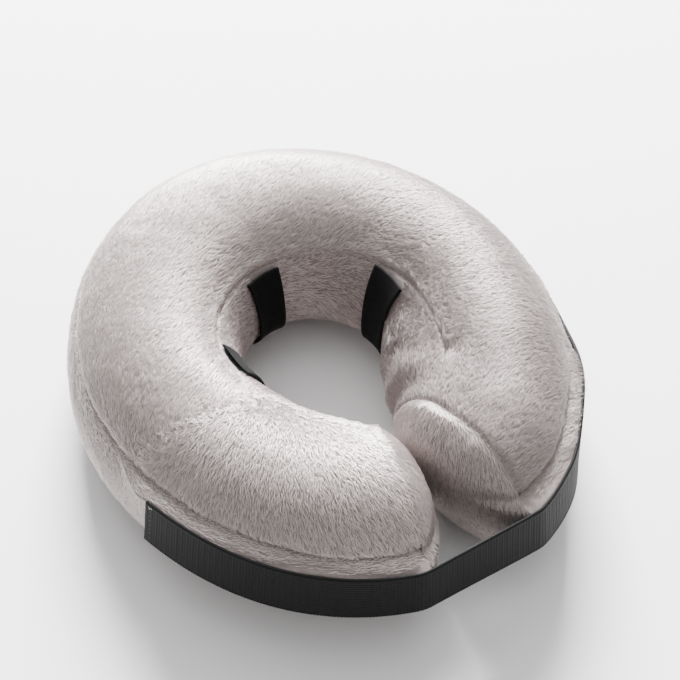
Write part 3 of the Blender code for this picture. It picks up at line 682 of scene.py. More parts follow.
# part, its positions along the ring, the body it rides on
PARTS = (
    ("left", rows_between(-ROW_END, -SPLIT), "left_half"),
    ("back", rows_between(-SPLIT, SPLIT), BACK_BLEND),
    ("right", rows_between(SPLIT, ROW_END), "right_half"),
)
ALL_ROWS = np.concatenate([PARTS[0][1], PARTS[1][1][1:], PARTS[2][1][1:]])

# How the cloth draws in at each kind of seam
OUT_SEAM = dict(depth=0.0019, width=0.0019, pucker=0.0009, pitch=0.011, seed=21)
IN_SEAM = dict(depth=0.0013, width=0.0012, pucker=0.0005, pitch=0.010, seed=22)
LOWER_SEAM = dict(depth=0.0014, width=0.0022, pucker=0.0005, pitch=0.012, seed=23)


def nap_field(points):
    """Direction the pile lies in."""
    x, y = from_centre(points)
    angle = np.arctan2(x, -y)
    right = rise(angle, 0.5, 0.5) * fall(angle, 2.6, 0.6)
    lie = math.radians(20) * (1 - right) + math.radians(-30) * right
    nap = np.zeros(points.shape)
    nap[..., 0], nap[..., 1] = np.cos(lie), np.sin(lie)
    # on the front of the left arm the pile runs outward
    front = (fall(y, 0.0, 0.05) * fall(angle, 0.2, 0.3) * 0.75)[..., None]
    nap = nap * (1 - front) + outward(points) * front
    nap[..., 2] -= 0.12
    return nap


def painted_shading_field(points, angle):
    """Painted shade and light in the pile's colour and sheen: darker on the right arm's front and
    inner side, lighter towards the left arm's end.
    """
    deg = np.degrees(angle)
    radius = np.hypot(*from_centre(points))
    across = (radius - ring_radius(angle)) / ring_half_width(angle)
    # painted shade on the right arm's front and inner side, painted light near the left arm's end
    front = 0.26 * fall(deg, 74, 34) * rise(deg, 4, 8)
    inner = 0.30 * rise(deg, 12, 14) * fall(deg, 128, 40) * fall(across, 0.10, 0.55)
    left_end_painted_light = 0.16 * rise(deg, -42, 24) * fall(deg, 0, 3)
    return 1 - np.minimum(front + inner, 0.36) + left_end_painted_light


def seam_dip(distance, along, depth, width, pucker, pitch, seed):
    """How far the cloth moves out (mostly in) near a seam."""
    place = np.stack([along / pitch, 0 * along + seed * 3.1, distance / 0.012], -1)
    wave = noise3(place, 1.0, seed)
    fine_wave = noise3(place * np.array([2.3, 1, 1.4]), 1.0, seed + 5)
    near = np.exp(-((distance / 0.009) ** 1.5))
    return -depth * bell(distance, width) + pucker * near * (wave * 0.7 + fine_wave * 0.45)


def wall_push(points, angle, from_top):
    """Behind the strap the cloth is pushed out against it, and rolls over its top edge."""
    deg = np.degrees(angle)
    out = np.hypot(*from_centre(points)) - ring_radius(angle)
    z = points[..., 2]
    high = rise(z, 0.028, 0.006) * rise(from_top, 0, 0.0060)
    left = rise(deg, STRAP_END - 14, 12) * fall(deg, 0, 1)
    right = fall(deg, 62, 20) * rise(deg, 0, 1)
    lip = 0.0006 + 0.0014 * bell(z - 0.0615, 0.0020)
    push = np.clip(ring_half_width(angle) + lip - out, 0, None)
    return outward(points) * (push * high * np.clip(left + right, 0, 1))[..., None]


def strap_dip_at(deg):
    return STRAP_DIP * rise(deg, 44.0, 26.0)


# Masks of the pile: 1 where it grows, 0 where it's left out
def loop_mask(points):
    mask = np.ones(points.shape[:2])
    for deg in LOOPS.values():
        angle = math.radians(deg)
        middle = plan_point(angle, ring_radius(angle) - ring_half_width(angle))
        offset = points[..., :2] - middle
        along = offset @ np.array([math.cos(angle), math.sin(angle)])
        radial = offset @ np.array([math.sin(angle), -math.cos(angle)])
        under = fall(np.abs(along), LOOP_WIDTH / 2 - 0.0004, 0.0010)
        mask = np.where((radial < 0.04) & (radial > -0.02), mask * (1 - under), mask)
    return mask


def strap_mask(points, angle):
    deg = np.degrees(angle)
    z = points[..., 2] + strap_dip_at(deg)
    high = rise(z, STRAP_Z0 + 0.0002, 0.0008) * fall(z, STRAP_Z1 - 0.0003, 0.0008)
    along = rise(deg, STRAP_END + 0.6, 0.6) * fall(deg, STRAP_START - 0.6, 0.6)
    return 1 - high * along


def zip_zone(angle):
    deg = np.degrees(angle)
    return rise(deg, ZIP_LO, 3.0) * fall(deg, ZIP_HI, 3.0)


def zip_mask(distance, angle):
    return 1 - zip_zone(angle) * (1 - rise(distance, 0.0042, 0.001))


# Shapes: how far each panel stands out from the plain ring. low and high are the distances
# from its first and last seam, along is the distance along it.
def zip_fold(distance, angle, height):
    """The cloth folds up beside the zip."""
    fold = height * bell(distance - 0.0066, 0.0036) + 0.0012 * bell(distance, 0.004)
    return zip_zone(angle) * fold


def top_shape(angle, low, high, along):
    ridge = 0.0006 * bell(high - 0.0038, 0.0024)
    dimple = -0.0022 * bell(np.degrees(angle) - 38, 5) * bell(high, 0.010)
    return ridge + dimple


def band_shape(angle, low, high, along):
    """The right arm's inner side swells into the neck opening."""
    deg = np.degrees(angle)
    middle = rise(low, 0, 0.028) * rise(high, 0, 0.020)
    return 0.0062 * rise(deg, 18, 16) * fall(deg, 98, 40) * middle


def bottom_shape(angle, low, high, along):
    return zip_fold(high, angle, 0.0034)


def gusset_shape(angle, low, high, along):
    """Long creases under the outer seam near the arms' ends, and the fold at the zip."""
    deg = np.degrees(angle)
    where = (rise(deg, -58, 14) * fall(deg, -8, 8)
             + 0.6 * rise(deg, 8, 8) * fall(deg, 46, 10))
    creases = (bell(high - 0.0040 - 0.0009 * np.sin(along * 90), 0.0010)
               + 0.8 * bell(high - 0.0072 - 0.0008 * np.sin(along * 71 + 1), 0.0011))
    return -0.0013 * where * creases + zip_fold(low, angle, 0.0036)


def valve_opening(ob):
    """The round opening for the air valve."""
    with editing(ob.data) as bm:
        removed = []
        for vertex in bm.verts:
            height, flat = valve_parts(vertex)
            radius = float(np.linalg.norm(flat))
            if abs(height) < 0.02:
                if radius < 0.0128:
                    removed.append(vertex)
                elif radius < 0.0146:
                    rim = VALVE_OUT * (height - 0.0006) + flat * (0.0138 / radius)
                    vertex.co = Vector(VALVE_CENTRE + rim)
        bmesh.ops.delete(bm, geom=removed, context="VERTS")


def plush_panel(stem, turns, seams, shape, seed, mask=None, density=1.0,
                backing="plush", pile="pile"):
    """One panel of the cover, cut into the two arms' parts and the back between them."""
    gusset = stem == "outer_gusset"
    plain, angle = surface(ALL_ROWS, turns, BACKING_OFFSET)
    normals = grid_normals(plain)
    centre = ring_point(angle, ring_radius(angle), 0.040)
    flipped = (normals * (plain - centre)).sum(-1).mean() < 0
    if flipped:
        normals = -normals
    along = arc_length(plain, 0)
    low = arc_length(plain, 1)
    high = low[:, -1:] - low
    lift = seam_dip(low, along, **seams[0]) + seam_dip(high, along, **seams[1])
    lift = lift + 0.0006 * fractal_noise(plain, 0.034, 2, seed)
    lift = lift + 0.00028 * fractal_noise(plain, 0.010, 2, seed + 3)
    lift = lift + shape(angle, low, high, along)
    from_end = np.clip((1 - np.abs(ALL_ROWS)[:, None]) * 0.42, 0, None)
    lift = lift - 0.0012 * bell(from_end, 0.0022)
    base = plain + wall_push(plain, angle, high) if gusset else plain
    points = base + normals * lift[..., None]
    points[..., 2] = np.maximum(points[..., 2], FLOOR_CLEARANCE)

    nap = nap_field(points)
    if gusset:
        # on the left arm the gusset's pile lies along the wall
        way = np.stack([np.cos(angle), np.sin(angle), 0 * angle], -1)
        share = 0.85 * fall(np.degrees(angle), 10, 10)[..., None]
        nap = nap * (1 - share) + way * share
        nap[..., 2] += 0.10
    fields = {
        "fur": mask(points, angle, low, high) if mask else np.ones(points.shape[:2]),
        "len": 0.40 + 0.60 * rise(np.minimum(low, high), 0, 0.0032),
        "nap": nap,
        # painted shade and light for the strands' colour
        "tone": painted_shading_field(points, angle),
    }
    for k, (part, rows, body) in enumerate(PARTS):
        first = int(np.argmin(np.abs(ALL_ROWS - rows[0])))
        last = int(np.argmin(np.abs(ALL_ROWS - rows[-1])))
        cut = slice(first, last + 1)
        name = f"{stem}_{part}"
        ob = grid_mesh(name, points[cut], LOOK[backing], flip=flipped,
                       attributes={key: field[cut] for key, field in fields.items()})
        if gusset and part == "back":
            valve_opening(ob)
        attach(ob, body, () if part == "back" else (name,))
        add_pile(ob, LOOK[pile], DENSITY * density, seed + k)


plush_panel(
    "cover_top", columns(SEAM_OUT - LAP, lambda angle: seam_in(angle) + LAP_IN, 98),
    (OUT_SEAM, IN_SEAM), top_shape, seed=30)
plush_panel(
    "inner_band", columns(lambda angle: seam_in(angle) - LAP, SEAM_INLOW - SEAM_GAP, 58),
    (IN_SEAM, LOWER_SEAM), band_shape, seed=40, density=0.9,
    mask=lambda points, angle, low, high: loop_mask(points),
    backing="band", pile="pile_band_painted_light")
plush_panel(
    "cover_bottom", columns(SEAM_INLOW + SEAM_GAP, 2 * math.pi - SEAM_LOW - SEAM_GAP, 74),
    (LOWER_SEAM, LOWER_SEAM), bottom_shape, seed=50, density=0.55,
    mask=lambda points, angle, low, high: zip_mask(high, angle))
plush_panel(
    "outer_gusset", columns(-SEAM_LOW + SEAM_GAP, SEAM_OUT + LAP, 60),
    (LOWER_SEAM, OUT_SEAM), gusset_shape, seed=60,
    mask=lambda points, angle, low, high: zip_mask(low, angle) * strap_mask(points, angle))


def end_panel(side, sign):
    """The domed panel that closes an arm, facing the other arm across the opening."""
    edges, pushes = [], []
    for i, turns in enumerate(whole_section(90, 54, 74, 40)):
        line, angle = surface([sign], turns, BACKING_OFFSET)
        push = 0 * line
        if i == 3:
            low = arc_length(line, 1)
            push = wall_push(line, angle, low[:, -1:] - low)
        edges.append(line[0][:-1])
        pushes.append(push[0][:-1])
    edge, push = np.concatenate(edges, 0), np.concatenate(pushes, 0)
    middle = edge.mean(0)
    share = (1 - np.linspace(0, 1, 46) ** 1.15 * 0.985)[:, None, None]  # 1 at the rim
    points = middle + (edge[None] - middle) * share + push[None] * share**2.5
    drawn = 1 - 0.030 * bell((1 - share) * 0.05, 0.0022)
    points = middle + (points - middle) * drawn
    points[..., 0] -= sign * (0.0006 + BULGE * (1 - share[..., 0] ** DOME))
    points[..., 2] += 0.004 * (1 - share[..., 0] ** 2) * (points[..., 2] > 0.012)
    distance = np.linalg.norm(edge[None] - points, axis=-1)
    spoke = np.arctan2(points[..., 2] - middle[2], points[..., 1] - middle[1])
    place = np.stack([spoke * 5.5, distance / 0.02, 0 * distance], -1)
    pleat = 0.0010 * np.exp(-((distance / 0.010) ** 1.5)) * noise3(place, 1.0, 77)
    seam_line = -0.0016 * bell(distance, 0.0020)
    soft = 0.0008 * fractal_noise(points, 0.022, 2, 71)
    points[..., 0] -= sign * (pleat + seam_line + soft)
    points[..., 2] = np.maximum(points[..., 2], FLOOR_CLEARANCE)
    nap = np.zeros(points.shape)
    nap[..., 1], nap[..., 2] = -0.5, -0.85
    name = f"end_panel_{side}"
    ob = grid_mesh(name, points, LOOK["plush"], wrap=True, attributes={
        "fur": np.ones(points.shape[:2]),
        "len": 0.55 + 0.45 * rise(distance, 0, 0.003),
        "nap": nap,
        "tone": np.ones(points.shape[:2]),
    })
    with editing(ob.data) as bm:
        fill_near(bm, middle)
        smooth_faces(bm)
        bm.normal_update()
        if sum(face.normal.x * face.calc_area() for face in bm.faces) * sign > 0:
            bmesh.ops.reverse_faces(bm, faces=bm.faces)
    attach(ob, f"{side}_half", (name,))
    add_pile(ob, LOOK["pile_end_painted_shade"], DENSITY * 1.25, 80, lift=0.20, jitter=0.16)


end_panel("left", -1.0)
end_panel("right", 1.0)


# ---------------------------------------------------------------- neck loops
def spread(count, power):
    """Positions from -1 to 1, with an uneven spacing set by power."""
    even = np.linspace(-1, 1, count)
    return np.sign(even) * (1 - (1 - np.abs(even)) ** power)


def neck_loop(name, deg):
    """A webbing strip down the tube's inner side."""
    rows, count = 150, 52
    middle = math.radians(deg)
    turns = np.linspace(float(seam_in(middle)) + 0.070, SEAM_INLOW - 0.030, rows)
    turn, across = np.meshgrid(turns, spread(count, 1.25), indexing="ij")
    half = LOOP_WIDTH / 2 / float(ring_radius(middle) - ring_half_width(middle))
    angle = middle + half * across * (1 if deg > 0 else -1)
    out, z = section(ring_half_width(angle), turn, 0.0)
    out_far, z_far = section(ring_half_width(angle), turn, 1.0)
    share = np.linspace(0, 1, rows)[:, None]
    arch = np.sin(math.pi * share)
    edge_round = 0.5 * np.clip((np.abs(across) - 0.90) / 0.10, 0, 1) ** 2
    stand = 0.0007 * arch**0.6 + 0.0004 + 0.0003 * np.sin(share * 9 + deg) * arch
    ribs = 0.00010 * np.sin(np.arange(rows) * 1.25)[:, None] * np.cos(np.arange(count) * 1.57)

    def skin(offset, relief):
        away = offset * (1 - edge_round) + stand + relief
        radius = ring_radius(angle) + out + (out_far - out) * away
        return ring_point(angle, radius, z + (z_far - z) * away)

    ob = slab(name, skin(0.0017, ribs), skin(0.0002, 0), LOOK["loop"])
    side = name.split("_")[-1]
    attach(ob, BACK_BLEND if side == "back" else f"{side}_half", (name,))


for loop_name, loop_deg in LOOPS.items():
    neck_loop(loop_name, loop_deg)


# ---------------------------------------------------------------- strap
def strap_path():
    """x, y, outward x, outward y, ring angle and arc length along the strap."""
    right = np.linspace(STRAP_START, STRAP_BRIDGE, 240)
    left = np.linspace(-STRAP_BRIDGE, STRAP_END, 250)
    shares = np.linspace(0, 1, 90)[1:-1]
    right_points = [outline(float(d))[0] for d in right]
    left_points = [outline(float(d))[0] for d in left]
    start, end = right_points[-1], left_points[0]
    points = np.array(right_points + [start + (end - start) * k for k in shares] + left_points)
    degs = np.concatenate([right, STRAP_BRIDGE - 2 * STRAP_BRIDGE * shares, left])
    steps = np.linalg.norm(np.diff(points, axis=0), axis=1)
    length = np.concatenate([[0], np.cumsum(steps)])
    even = np.linspace(0, length[-1], 1400)

    # ease the path round the corners of the opening, where the webbing leaves the arms
    reach = 24
    kernel = bell(np.arange(-reach, reach + 1), 10.0)
    kernel /= kernel.sum()

    def eased(values):
        before = 2 * values[0] - values[reach:0:-1]
        after = 2 * values[-1] - values[-2:-reach - 2:-1]
        return np.convolve(np.concatenate([before, values, after]), kernel, "valid")

    x = eased(np.interp(even, length, points[:, 0]))
    y = eased(np.interp(even, length, points[:, 1]))
    step_x, step_y = np.gradient(x), np.gradient(y)
    step = np.hypot(step_x, step_y)
    eased_length = np.concatenate([[0], np.cumsum(np.hypot(np.diff(x), np.diff(y)))])
    return x, y, -step_y / step, step_x / step, np.interp(even, length, degs), eased_length


PATH_X, PATH_Y, PATH_OUT_X, PATH_OUT_Y, PATH_DEG, PATH_LENGTH = strap_path()


def at_deg(deg):
    """Arc length along the strap at an angle round the ring."""
    return float(np.interp(-deg, -PATH_DEG, PATH_LENGTH))


def frame_at(along):
    """x, y and the outward direction at an arc length."""
    return [np.interp(along, PATH_LENGTH, values)
            for values in (PATH_X, PATH_Y, PATH_OUT_X, PATH_OUT_Y)]


def strap_offset(along, across):
    """Slow waviness off the arms, closer to the right arm; across runs -1..1 up the strap."""
    deg = np.interp(along, PATH_LENGTH, PATH_DEG)
    press = 0.0034 * rise(deg, 24.0, 16.0)
    lean = 0.0022 * across * (1 - rise(deg, 20.0, 20.0))
    wave = 0.0004 * np.sin(along * 42.0) + 0.0004 * across * np.sin(along * 27.0 + 0.8)
    return wave - press - lean


def offset_at_height(along, z):
    return float(strap_offset(along, (z - STRAP_MID_Z) / 0.015))


def strap_dip(along):
    return strap_dip_at(np.interp(along, PATH_LENGTH, PATH_DEG))


def hinge_blend(before, after, x, y, way_x, way_y):
    """Two bodies and the ends of a span 6.5 mm either side of a hinge."""
    reach, z = 0.0065, 0.047
    return (before, after, (x - way_x * reach, y - way_y * reach, z),
            (x + way_x * reach, y + way_y * reach, z))


OUTER_FACE = STRAP_IN + STRAP_THICK
TAPE_IN, TAPE_THICK = 0.0018, 0.0009
TAPE_Z0, TAPE_Z1 = STRAP_Z0 + 0.0015, STRAP_Z1 - 0.0015
WEBBING = dict(inner=STRAP_IN - 0.0003, outer=OUTER_FACE, z0=STRAP_Z0, z1=STRAP_Z1,
               cell=0.00034, count=88, look="strap", slot="strap_webbing")
TAPE = dict(inner=TAPE_IN, outer=TAPE_IN + TAPE_THICK, z0=TAPE_Z0, z1=TAPE_Z1,
            cell=0.0008, count=30, look="hook", slot="hook_tape")


def strap_piece(name, start, end, joint, cad, layer):
    """A length of webbing or hook tape. joint is a body, or two bodies and the hinge's place."""
    stations = np.linspace(start, end, max(6, int((end - start) / layer["cell"])))
    along, across = np.meshgrid(stations, spread(layer["count"], 1.12), indexing="ij")
    x, y, out_x, out_y = frame_at(along)
    width = layer["z1"] - layer["z0"]
    z = (layer["z0"] + layer["z1"]) / 2 + width / 2 * across
    z = z + 0.0004 * np.sin(along * 35.0) - strap_dip(along)
    wavy = strap_offset(along, across)
    edge = np.abs(across)
    rounding = np.clip((edge - 0.955) / 0.045, 0, 1) ** 2
    thin = (layer["outer"] - layer["inner"]) * 0.45 * rounding
    relief = 0
    if layer is WEBBING:
        weave = math.pi * along / 0.0017
        ridges = np.abs(np.sin(weave)) * np.abs(np.sin(math.pi * (across + 1) * width / 2 / 0.0016))
        relief = (0.00030 * np.sqrt(ridges) * (1 - rounding)
                  + 0.00004 * np.sin(weave) * (edge < 0.86)
                  + 0.00010 * bell(edge - 0.93, 0.03))

    def skin(offset):
        offset = offset + wavy
        return np.stack([x + out_x * offset, y + out_y * offset, z], -1)

    ob = slab(name, skin(layer["outer"] + relief - thin), skin(layer["inner"] + thin),
              LOOK[layer["look"]])
    if not isinstance(joint, str):
        before, after, hinge = joint
        x, y, out_x, out_y = frame_at(hinge)
        joint = hinge_blend(before, after, x, y, out_y, -out_x)
    attach(ob, joint, cad)


STRAP_BODIES = ["right_half", "strap_bend", "strap_bridge", "strap_wrap_1", "strap_wrap_2",
                "strap_tail"]
ROOT, TIP = at_deg(STRAP_START), at_deg(STRAP_END)
HINGES = [at_deg(d) for d in STRAP_HINGES]
_stops = [ROOT, *HINGES, TIP]
# the strap is cut midway between its hinges
CUTS = [ROOT, *((a + b) / 2 for a, b in zip(_stops, _stops[1:])), TIP]
strap_piece("strap_sewn_end", CUTS[0], CUTS[1], "right_half", ("strap_root",), WEBBING)
for k in range(5):
    strap_piece(f"strap_length_{k + 1}", CUTS[k + 1], CUTS[k + 2],
                (STRAP_BODIES[k], STRAP_BODIES[k + 1], HINGES[k]), (STRAP_BODIES[k + 1],), WEBBING)
strap_piece("strap_free_end", CUTS[6], CUTS[7], "strap_tail", ("strap_tail",), WEBBING)

TAPE_CUTS = [at_deg(-16.0), *CUTS[4:7], at_deg(STRAP_END + 1.0)]
# body or hinge, CAD pieces
TAPE_JOINTS = (
    ("strap_wrap_1", ("hook_tape_wrap_1",)),
    (("strap_wrap_1", "strap_wrap_2", HINGES[3]), ("hook_tape_wrap_2",)),
    (("strap_wrap_2", "strap_tail", HINGES[4]), ("hook_tape_tail",)),
    ("strap_tail", ()),
)
for k, (tape_joint, tape_cad) in enumerate(TAPE_JOINTS):
    strap_piece(f"hook_tape_{k + 1}", TAPE_CUTS[k], TAPE_CUTS[k + 1], tape_joint, tape_cad, TAPE)

HOOK_PITCH, HOOK_HEIGHT = 0.0017, 0.0009
# corners (along, z) of a hook's root and of its leaning tip
HOOK_ROOT = ((-0.00028, -0.00022), (0.00028, -0.00022), (0.00028, 0.00022), (-0.00028, 0.00022))
HOOK_TIP = ((0.00005, -0.00016), (0.00040, -0.00016), (0.00040, 0.00016), (0.00005, 0.00016))


def tape_hooks(name, start, end, joint):
    """Rows of little hooks on the tape's inner face."""
    verts, faces = [], []
    for i, along in enumerate(np.arange(start + 0.001, end - 0.001, HOOK_PITCH)):
        x, y, out_x, out_y = frame_at(along)
        for z in np.arange(TAPE_Z0 + 0.0015, TAPE_Z1 - 0.001, HOOK_PITCH):
            z = z + (0.0008 if i % 2 else 0)
            root = TAPE_IN + offset_at_height(along, z)
            first = len(verts)
            for corners, out in ((HOOK_ROOT, root), (HOOK_TIP, root - HOOK_HEIGHT)):
                for shift, dz in corners:
                    verts.append((x + out_x * out - out_y * shift,
                                  y + out_y * out + out_x * shift, z + dz))
            faces += tube_faces(first, 2, 4)
            faces.append((first + 4, first + 5, first + 6, first + 7))
            faces.append((first, first + 3, first + 2, first + 1))
    ob = mesh_object(name, verts, faces, LOOK["hook"], smooth=False)
    if not isinstance(joint, str):
        before, after, hinge = joint
        x, y = frame_at(hinge)[:2]
        next_x, next_y = frame_at(hinge + 0.001)[:2]
        step = math.hypot(next_x - x, next_y - y)
        joint = hinge_blend(before, after, x, y, (next_x - x) / step, (next_y - y) / step)
    attach(ob, joint)


for k in (0, 3, 1, 2):
    tape_hooks(f"tape_hooks_{k + 1}", TAPE_CUTS[k], TAPE_CUTS[k + 1], TAPE_JOINTS[k][0])


def stitches(name, paths, radius, body):
    """Short thread stitches on the strap's outer face, along paths of (arc length, z)."""
    pitch, length, rings, sides = 0.0030, 0.0022, 7, 6
    verts, faces = [], []
    runs = [run for path in paths for run in zip(path, path[1:])]
    for (start, start_z), (end, end_z) in runs:
        run = math.hypot(end - start, end_z - start_z)
        count = max(1, int(run / pitch))
        half = (end - start) / run * length / 2
        half_z = (end_z - start_z) / run * length / 2
        for i in range(count):
            share = (i + 0.5) / count
            along = start + (end - start) * share
            z = start_z + (end_z - start_z) * share
            lift = OUTER_FACE + offset_at_height(along, z)
            dip = float(strap_dip(along))
            first = len(verts)
            for k in np.linspace(-1, 1, rings):
                x, y, out_x, out_y = frame_at(along + half * k)
                up = lift + radius * 0.9 * (1 - k * k) - radius * 0.5
                centre = np.array([x + out_x * up, y + out_y * up, z + half_z * k - dip])
                thickness = radius * (1 - 0.5 * k * k)
                out = np.array([out_x, out_y, 0.0])
                side = np.array([-out_y, out_x, 0.0])
                if abs(half) > abs(half_z):
                    side = np.array([0, 0, 1.0])
                for a in np.arange(sides) * math.pi / 3:
                    verts.append(centre + (side * math.cos(a) + out * math.sin(a)) * thickness)
            faces += tube_faces(first, rings, sides)
            faces.append(tuple(range(first, first + sides)))
            faces.append(tuple(range(first + (rings - 1) * sides, first + rings * sides)))
    attach(mesh_object(name, verts, faces, LOOK["thread"]), body)


BOX_START, BOX_END = ROOT + 0.004, ROOT + 0.030
BOX_Z0, BOX_Z1 = STRAP_Z0 + 0.0035, STRAP_Z1 - 0.0035
BOX = [(BOX_START, BOX_Z0), (BOX_END, BOX_Z0), (BOX_END, BOX_Z1), (BOX_START, BOX_Z1)]
stitches("root_box_stitch", [[*BOX, BOX[0]], [BOX[0], BOX[2]], [BOX[3], BOX[1]]],
         radius=0.00028, body="right_half")
stitches("tail_stitch", [[(TIP - 0.0035, BOX_Z0), (TIP - 0.0035, BOX_Z1)]],
         radius=0.00026, body="strap_tail")


def loop_patch():
    """The loop strip sewn on the left arm, under the strap's tail."""
    heights = np.linspace(STRAP_Z0 + 0.0025, STRAP_Z1 - 0.0025, 30)
    line = [outline(float(d)) for d in np.linspace(-18, -69, 130)]

    def skin(offset):
        return np.array([[(*(point + out * offset), z) for z in heights] for point, out in line])

    ob = slab("loop_patch", skin(0.0014), skin(0.0002), LOOK["patch"])
    count = len(ob.data.vertices)
    add_attribute(ob.data, "fur", np.ones(count))
    add_attribute(ob.data, "len", np.ones(count))
    add_attribute(ob.data, "nap", np.tile([0.3, 0.2, 0.9], count))
    attach(ob, "left_half", ("loop_patch",))
    add_pile(ob, LOOK["patch_pile"], 2.2e6, 90, length=0.0010, radius=0.00006,
             lift=0.7, jitter=1.3, clump=1.0)


loop_patch()


# ---------------------------------------------------------------- air valve
def valve_point(up, side, out):
    return VALVE_CENTRE + VALVE_UP * up + VALVE_SIDE * side + VALVE_OUT * out


def turned(profile, segments=64):
    """A (radius, out) profile turned about the valve's axis. It closes on itself unless it
    starts and ends on the axis."""
    verts, rows, faces = [], [], []
    for radius, out in profile:
        count = segments if radius > 1e-9 else 1
        rows.append(list(range(len(verts), len(verts) + count)))
        for i in range(count):
            a = 2 * math.pi * i / segments
            verts.append(valve_point(radius * math.cos(a), radius * math.sin(a), out))
    closed = all(len(row) > 1 for row in rows)
    for low, high in zip(rows, rows[1:] + rows[:1] if closed else rows[1:]):
        for i in range(segments):
            j = (i + 1) % segments
            if len(low) == 1:
                faces.append((low[0], high[j], high[i]))
            elif len(high) == 1:
                faces.append((low[i], low[j], high[0]))
            else:
                faces.append((low[i], low[j], high[j], high[i]))
    return verts, faces


def rounded(profile, radius, steps=4):
    """The profile with its corners rounded, except on the axis."""
    points = [np.array(point, float) for point in profile]
    out = []
    for i, corner in enumerate(points):
        if corner[0] < 1e-9:
            out.append(tuple(corner))
            continue
        before, after = points[i - 1] - corner, points[(i + 1) % len(points)] - corner
        before_length, after_length = np.linalg.norm(before), np.linalg.norm(after)
        cut = min(radius, before_length * 0.45, after_length * 0.45)
        start = corner + before / before_length * cut
        end = corner + after / after_length * cut
        for k in np.linspace(0, 1, steps):
            out.append(tuple((1 - k) ** 2 * start + 2 * k * (1 - k) * corner + k * k * end))
    return out


# name, body, corner radius, profile of (radius, out)
VALVE_PIECES = (
    ("valve_flange", "left_half", 0.0003, [
        (0.0054, -0.0011), (0.0078, -0.0011), (0.0084, -0.0008), (0.0090, -0.0011),
        (0.0110, -0.0011), (0.0115, -0.0009), (0.0120, -0.0012), (0.0130, -0.0017),
        (0.0130, -0.0026), (0.0063, -0.0026), (0.0063, -0.0140), (0.0054, -0.0140)]),
    ("valve_stem", "valve_stem", 0.0003, [
        (0.0033, 0.0006), (0.0042, 0.0006), (0.0044, 0.0004), (0.0046, 0.0006),
        (0.0062, 0.0006), (0.0066, 0.0001), (0.0066, -0.0008), (0.0050, -0.0008),
        (0.0050, -0.0120), (0.0033, -0.0120)]),
    ("valve_plug", "valve_plug", 0.0003, [
        (0, 0.0019), (0.0026, 0.0019), (0.0030, 0.0022), (0.0038, 0.0022), (0.0044, 0.0018),
        (0.0044, 0.0009), (0.0030, 0.0009), (0.0029, -0.0008), (0.0023, -0.0025),
        (0, -0.0025)]),
    ("valve_check_flap", "valve_flap", 0.0002, [
        (0, -0.0123), (0.0042, -0.0123), (0.0042, -0.0129), (0, -0.0129)]),
)
for piece, valve_body, corner_radius, valve_profile in VALVE_PIECES:
    turned_piece = mesh_object(piece, *turned(rounded(valve_profile, corner_radius)), LOOK["vinyl"])
    attach(turned_piece, valve_body, (piece,))


def soft_bar(name, body, *spans):
    """A rounded bar; spans are its limits up, sideways and out from the valve's centre."""
    mesh = bpy.data.meshes.new(name)
    with editing(mesh) as bm:
        bmesh.ops.create_cube(bm, size=1.0)
        for vertex in bm.verts:
            vertex.co = Vector(valve_point(*(
                (low + high) / 2 + unit * (high - low)
                for unit, (low, high) in zip(vertex.co, spans))))
        bmesh.ops.bevel(bm, geom=list(bm.edges), offset=0.0002, segments=3, affect="EDGES")
        smooth_faces(bm)
    attach(add_object(name, mesh, LOOK["vinyl"]), body)


soft_bar("valve_plug_tether", "valve_plug",
         (-0.0077, -0.0036), (-0.0013, 0.0013), (0.00095, 0.00165))
soft_bar("valve_stem_lug", "valve_stem",
         (-0.0086, -0.0058), (-0.0016, 0.0016), (-0.00075, 0.00055))

# ---------------------------------------------------------------- zip
# The zip follows a circle fitted to the lower outer seam. It's worked out on the left side
# and mirrored to the right. Its own measures are in mm: across it (positive upwards), out
# from the wall, and along it.
ZIP_DEGS = (-112.0, -162.0)
ZIP_TURN = -SEAM_LOW
ZIP_Z = float(section(np.float64(HALF_WIDTH), np.float64(ZIP_TURN), 0.0)[1])


def zip_plan(deg):
    angle = math.radians(deg)
    out, _z = section(ring_half_width(angle), np.float64(ZIP_TURN), 0.0)
    return plan_point(angle, ring_radius(angle) + out)


def circle_through(first, second, third):
    chords = 2 * np.array([second - first, third - first])
    squares = np.array([second @ second - first @ first, third @ third - first @ first])
    centre = np.linalg.solve(chords, squares)
    return centre, float(np.linalg.norm(first - centre))


ZIP_CENTRE, ZIP_RADIUS = circle_through(
    zip_plan(ZIP_DEGS[0] - 8), zip_plan(sum(ZIP_DEGS) / 2), zip_plan(ZIP_DEGS[1] + 8))
ZIP_TILT = math.atan2(
    abs(math.sin(ZIP_TURN)) ** (2 / POWER * (POWER - 1)) / LOWER_DEPTH,
    math.cos(ZIP_TURN) ** (2 / POWER * (POWER - 1)) / HALF_WIDTH)
ZIP_START, ZIP_END = (
    math.atan2(*(zip_plan(deg) - ZIP_CENTRE)[::-1]) for deg in ZIP_DEGS)
if ZIP_END > ZIP_START:
    ZIP_END -= 2 * math.pi
PER_MM = 0.001 / ZIP_RADIUS  # circle angle per mm along the zip


def zip_point(angle, across, out, along=0.0):
    radial = np.array([math.cos(angle), math.sin(angle), 0.0])
    way = np.array([math.sin(angle), -math.cos(angle), 0.0])
    across, out, along = across * MM, out * MM, along * MM
    radius = ZIP_RADIUS + out * math.cos(ZIP_TILT) + across * math.sin(ZIP_TILT)
    z = ZIP_Z - out * math.sin(ZIP_TILT) + across * math.cos(ZIP_TILT)
    point = np.array([*ZIP_CENTRE, z]) + radial * radius + way * along
    point[0] = 2 * CENTRE_X - point[0]
    return point


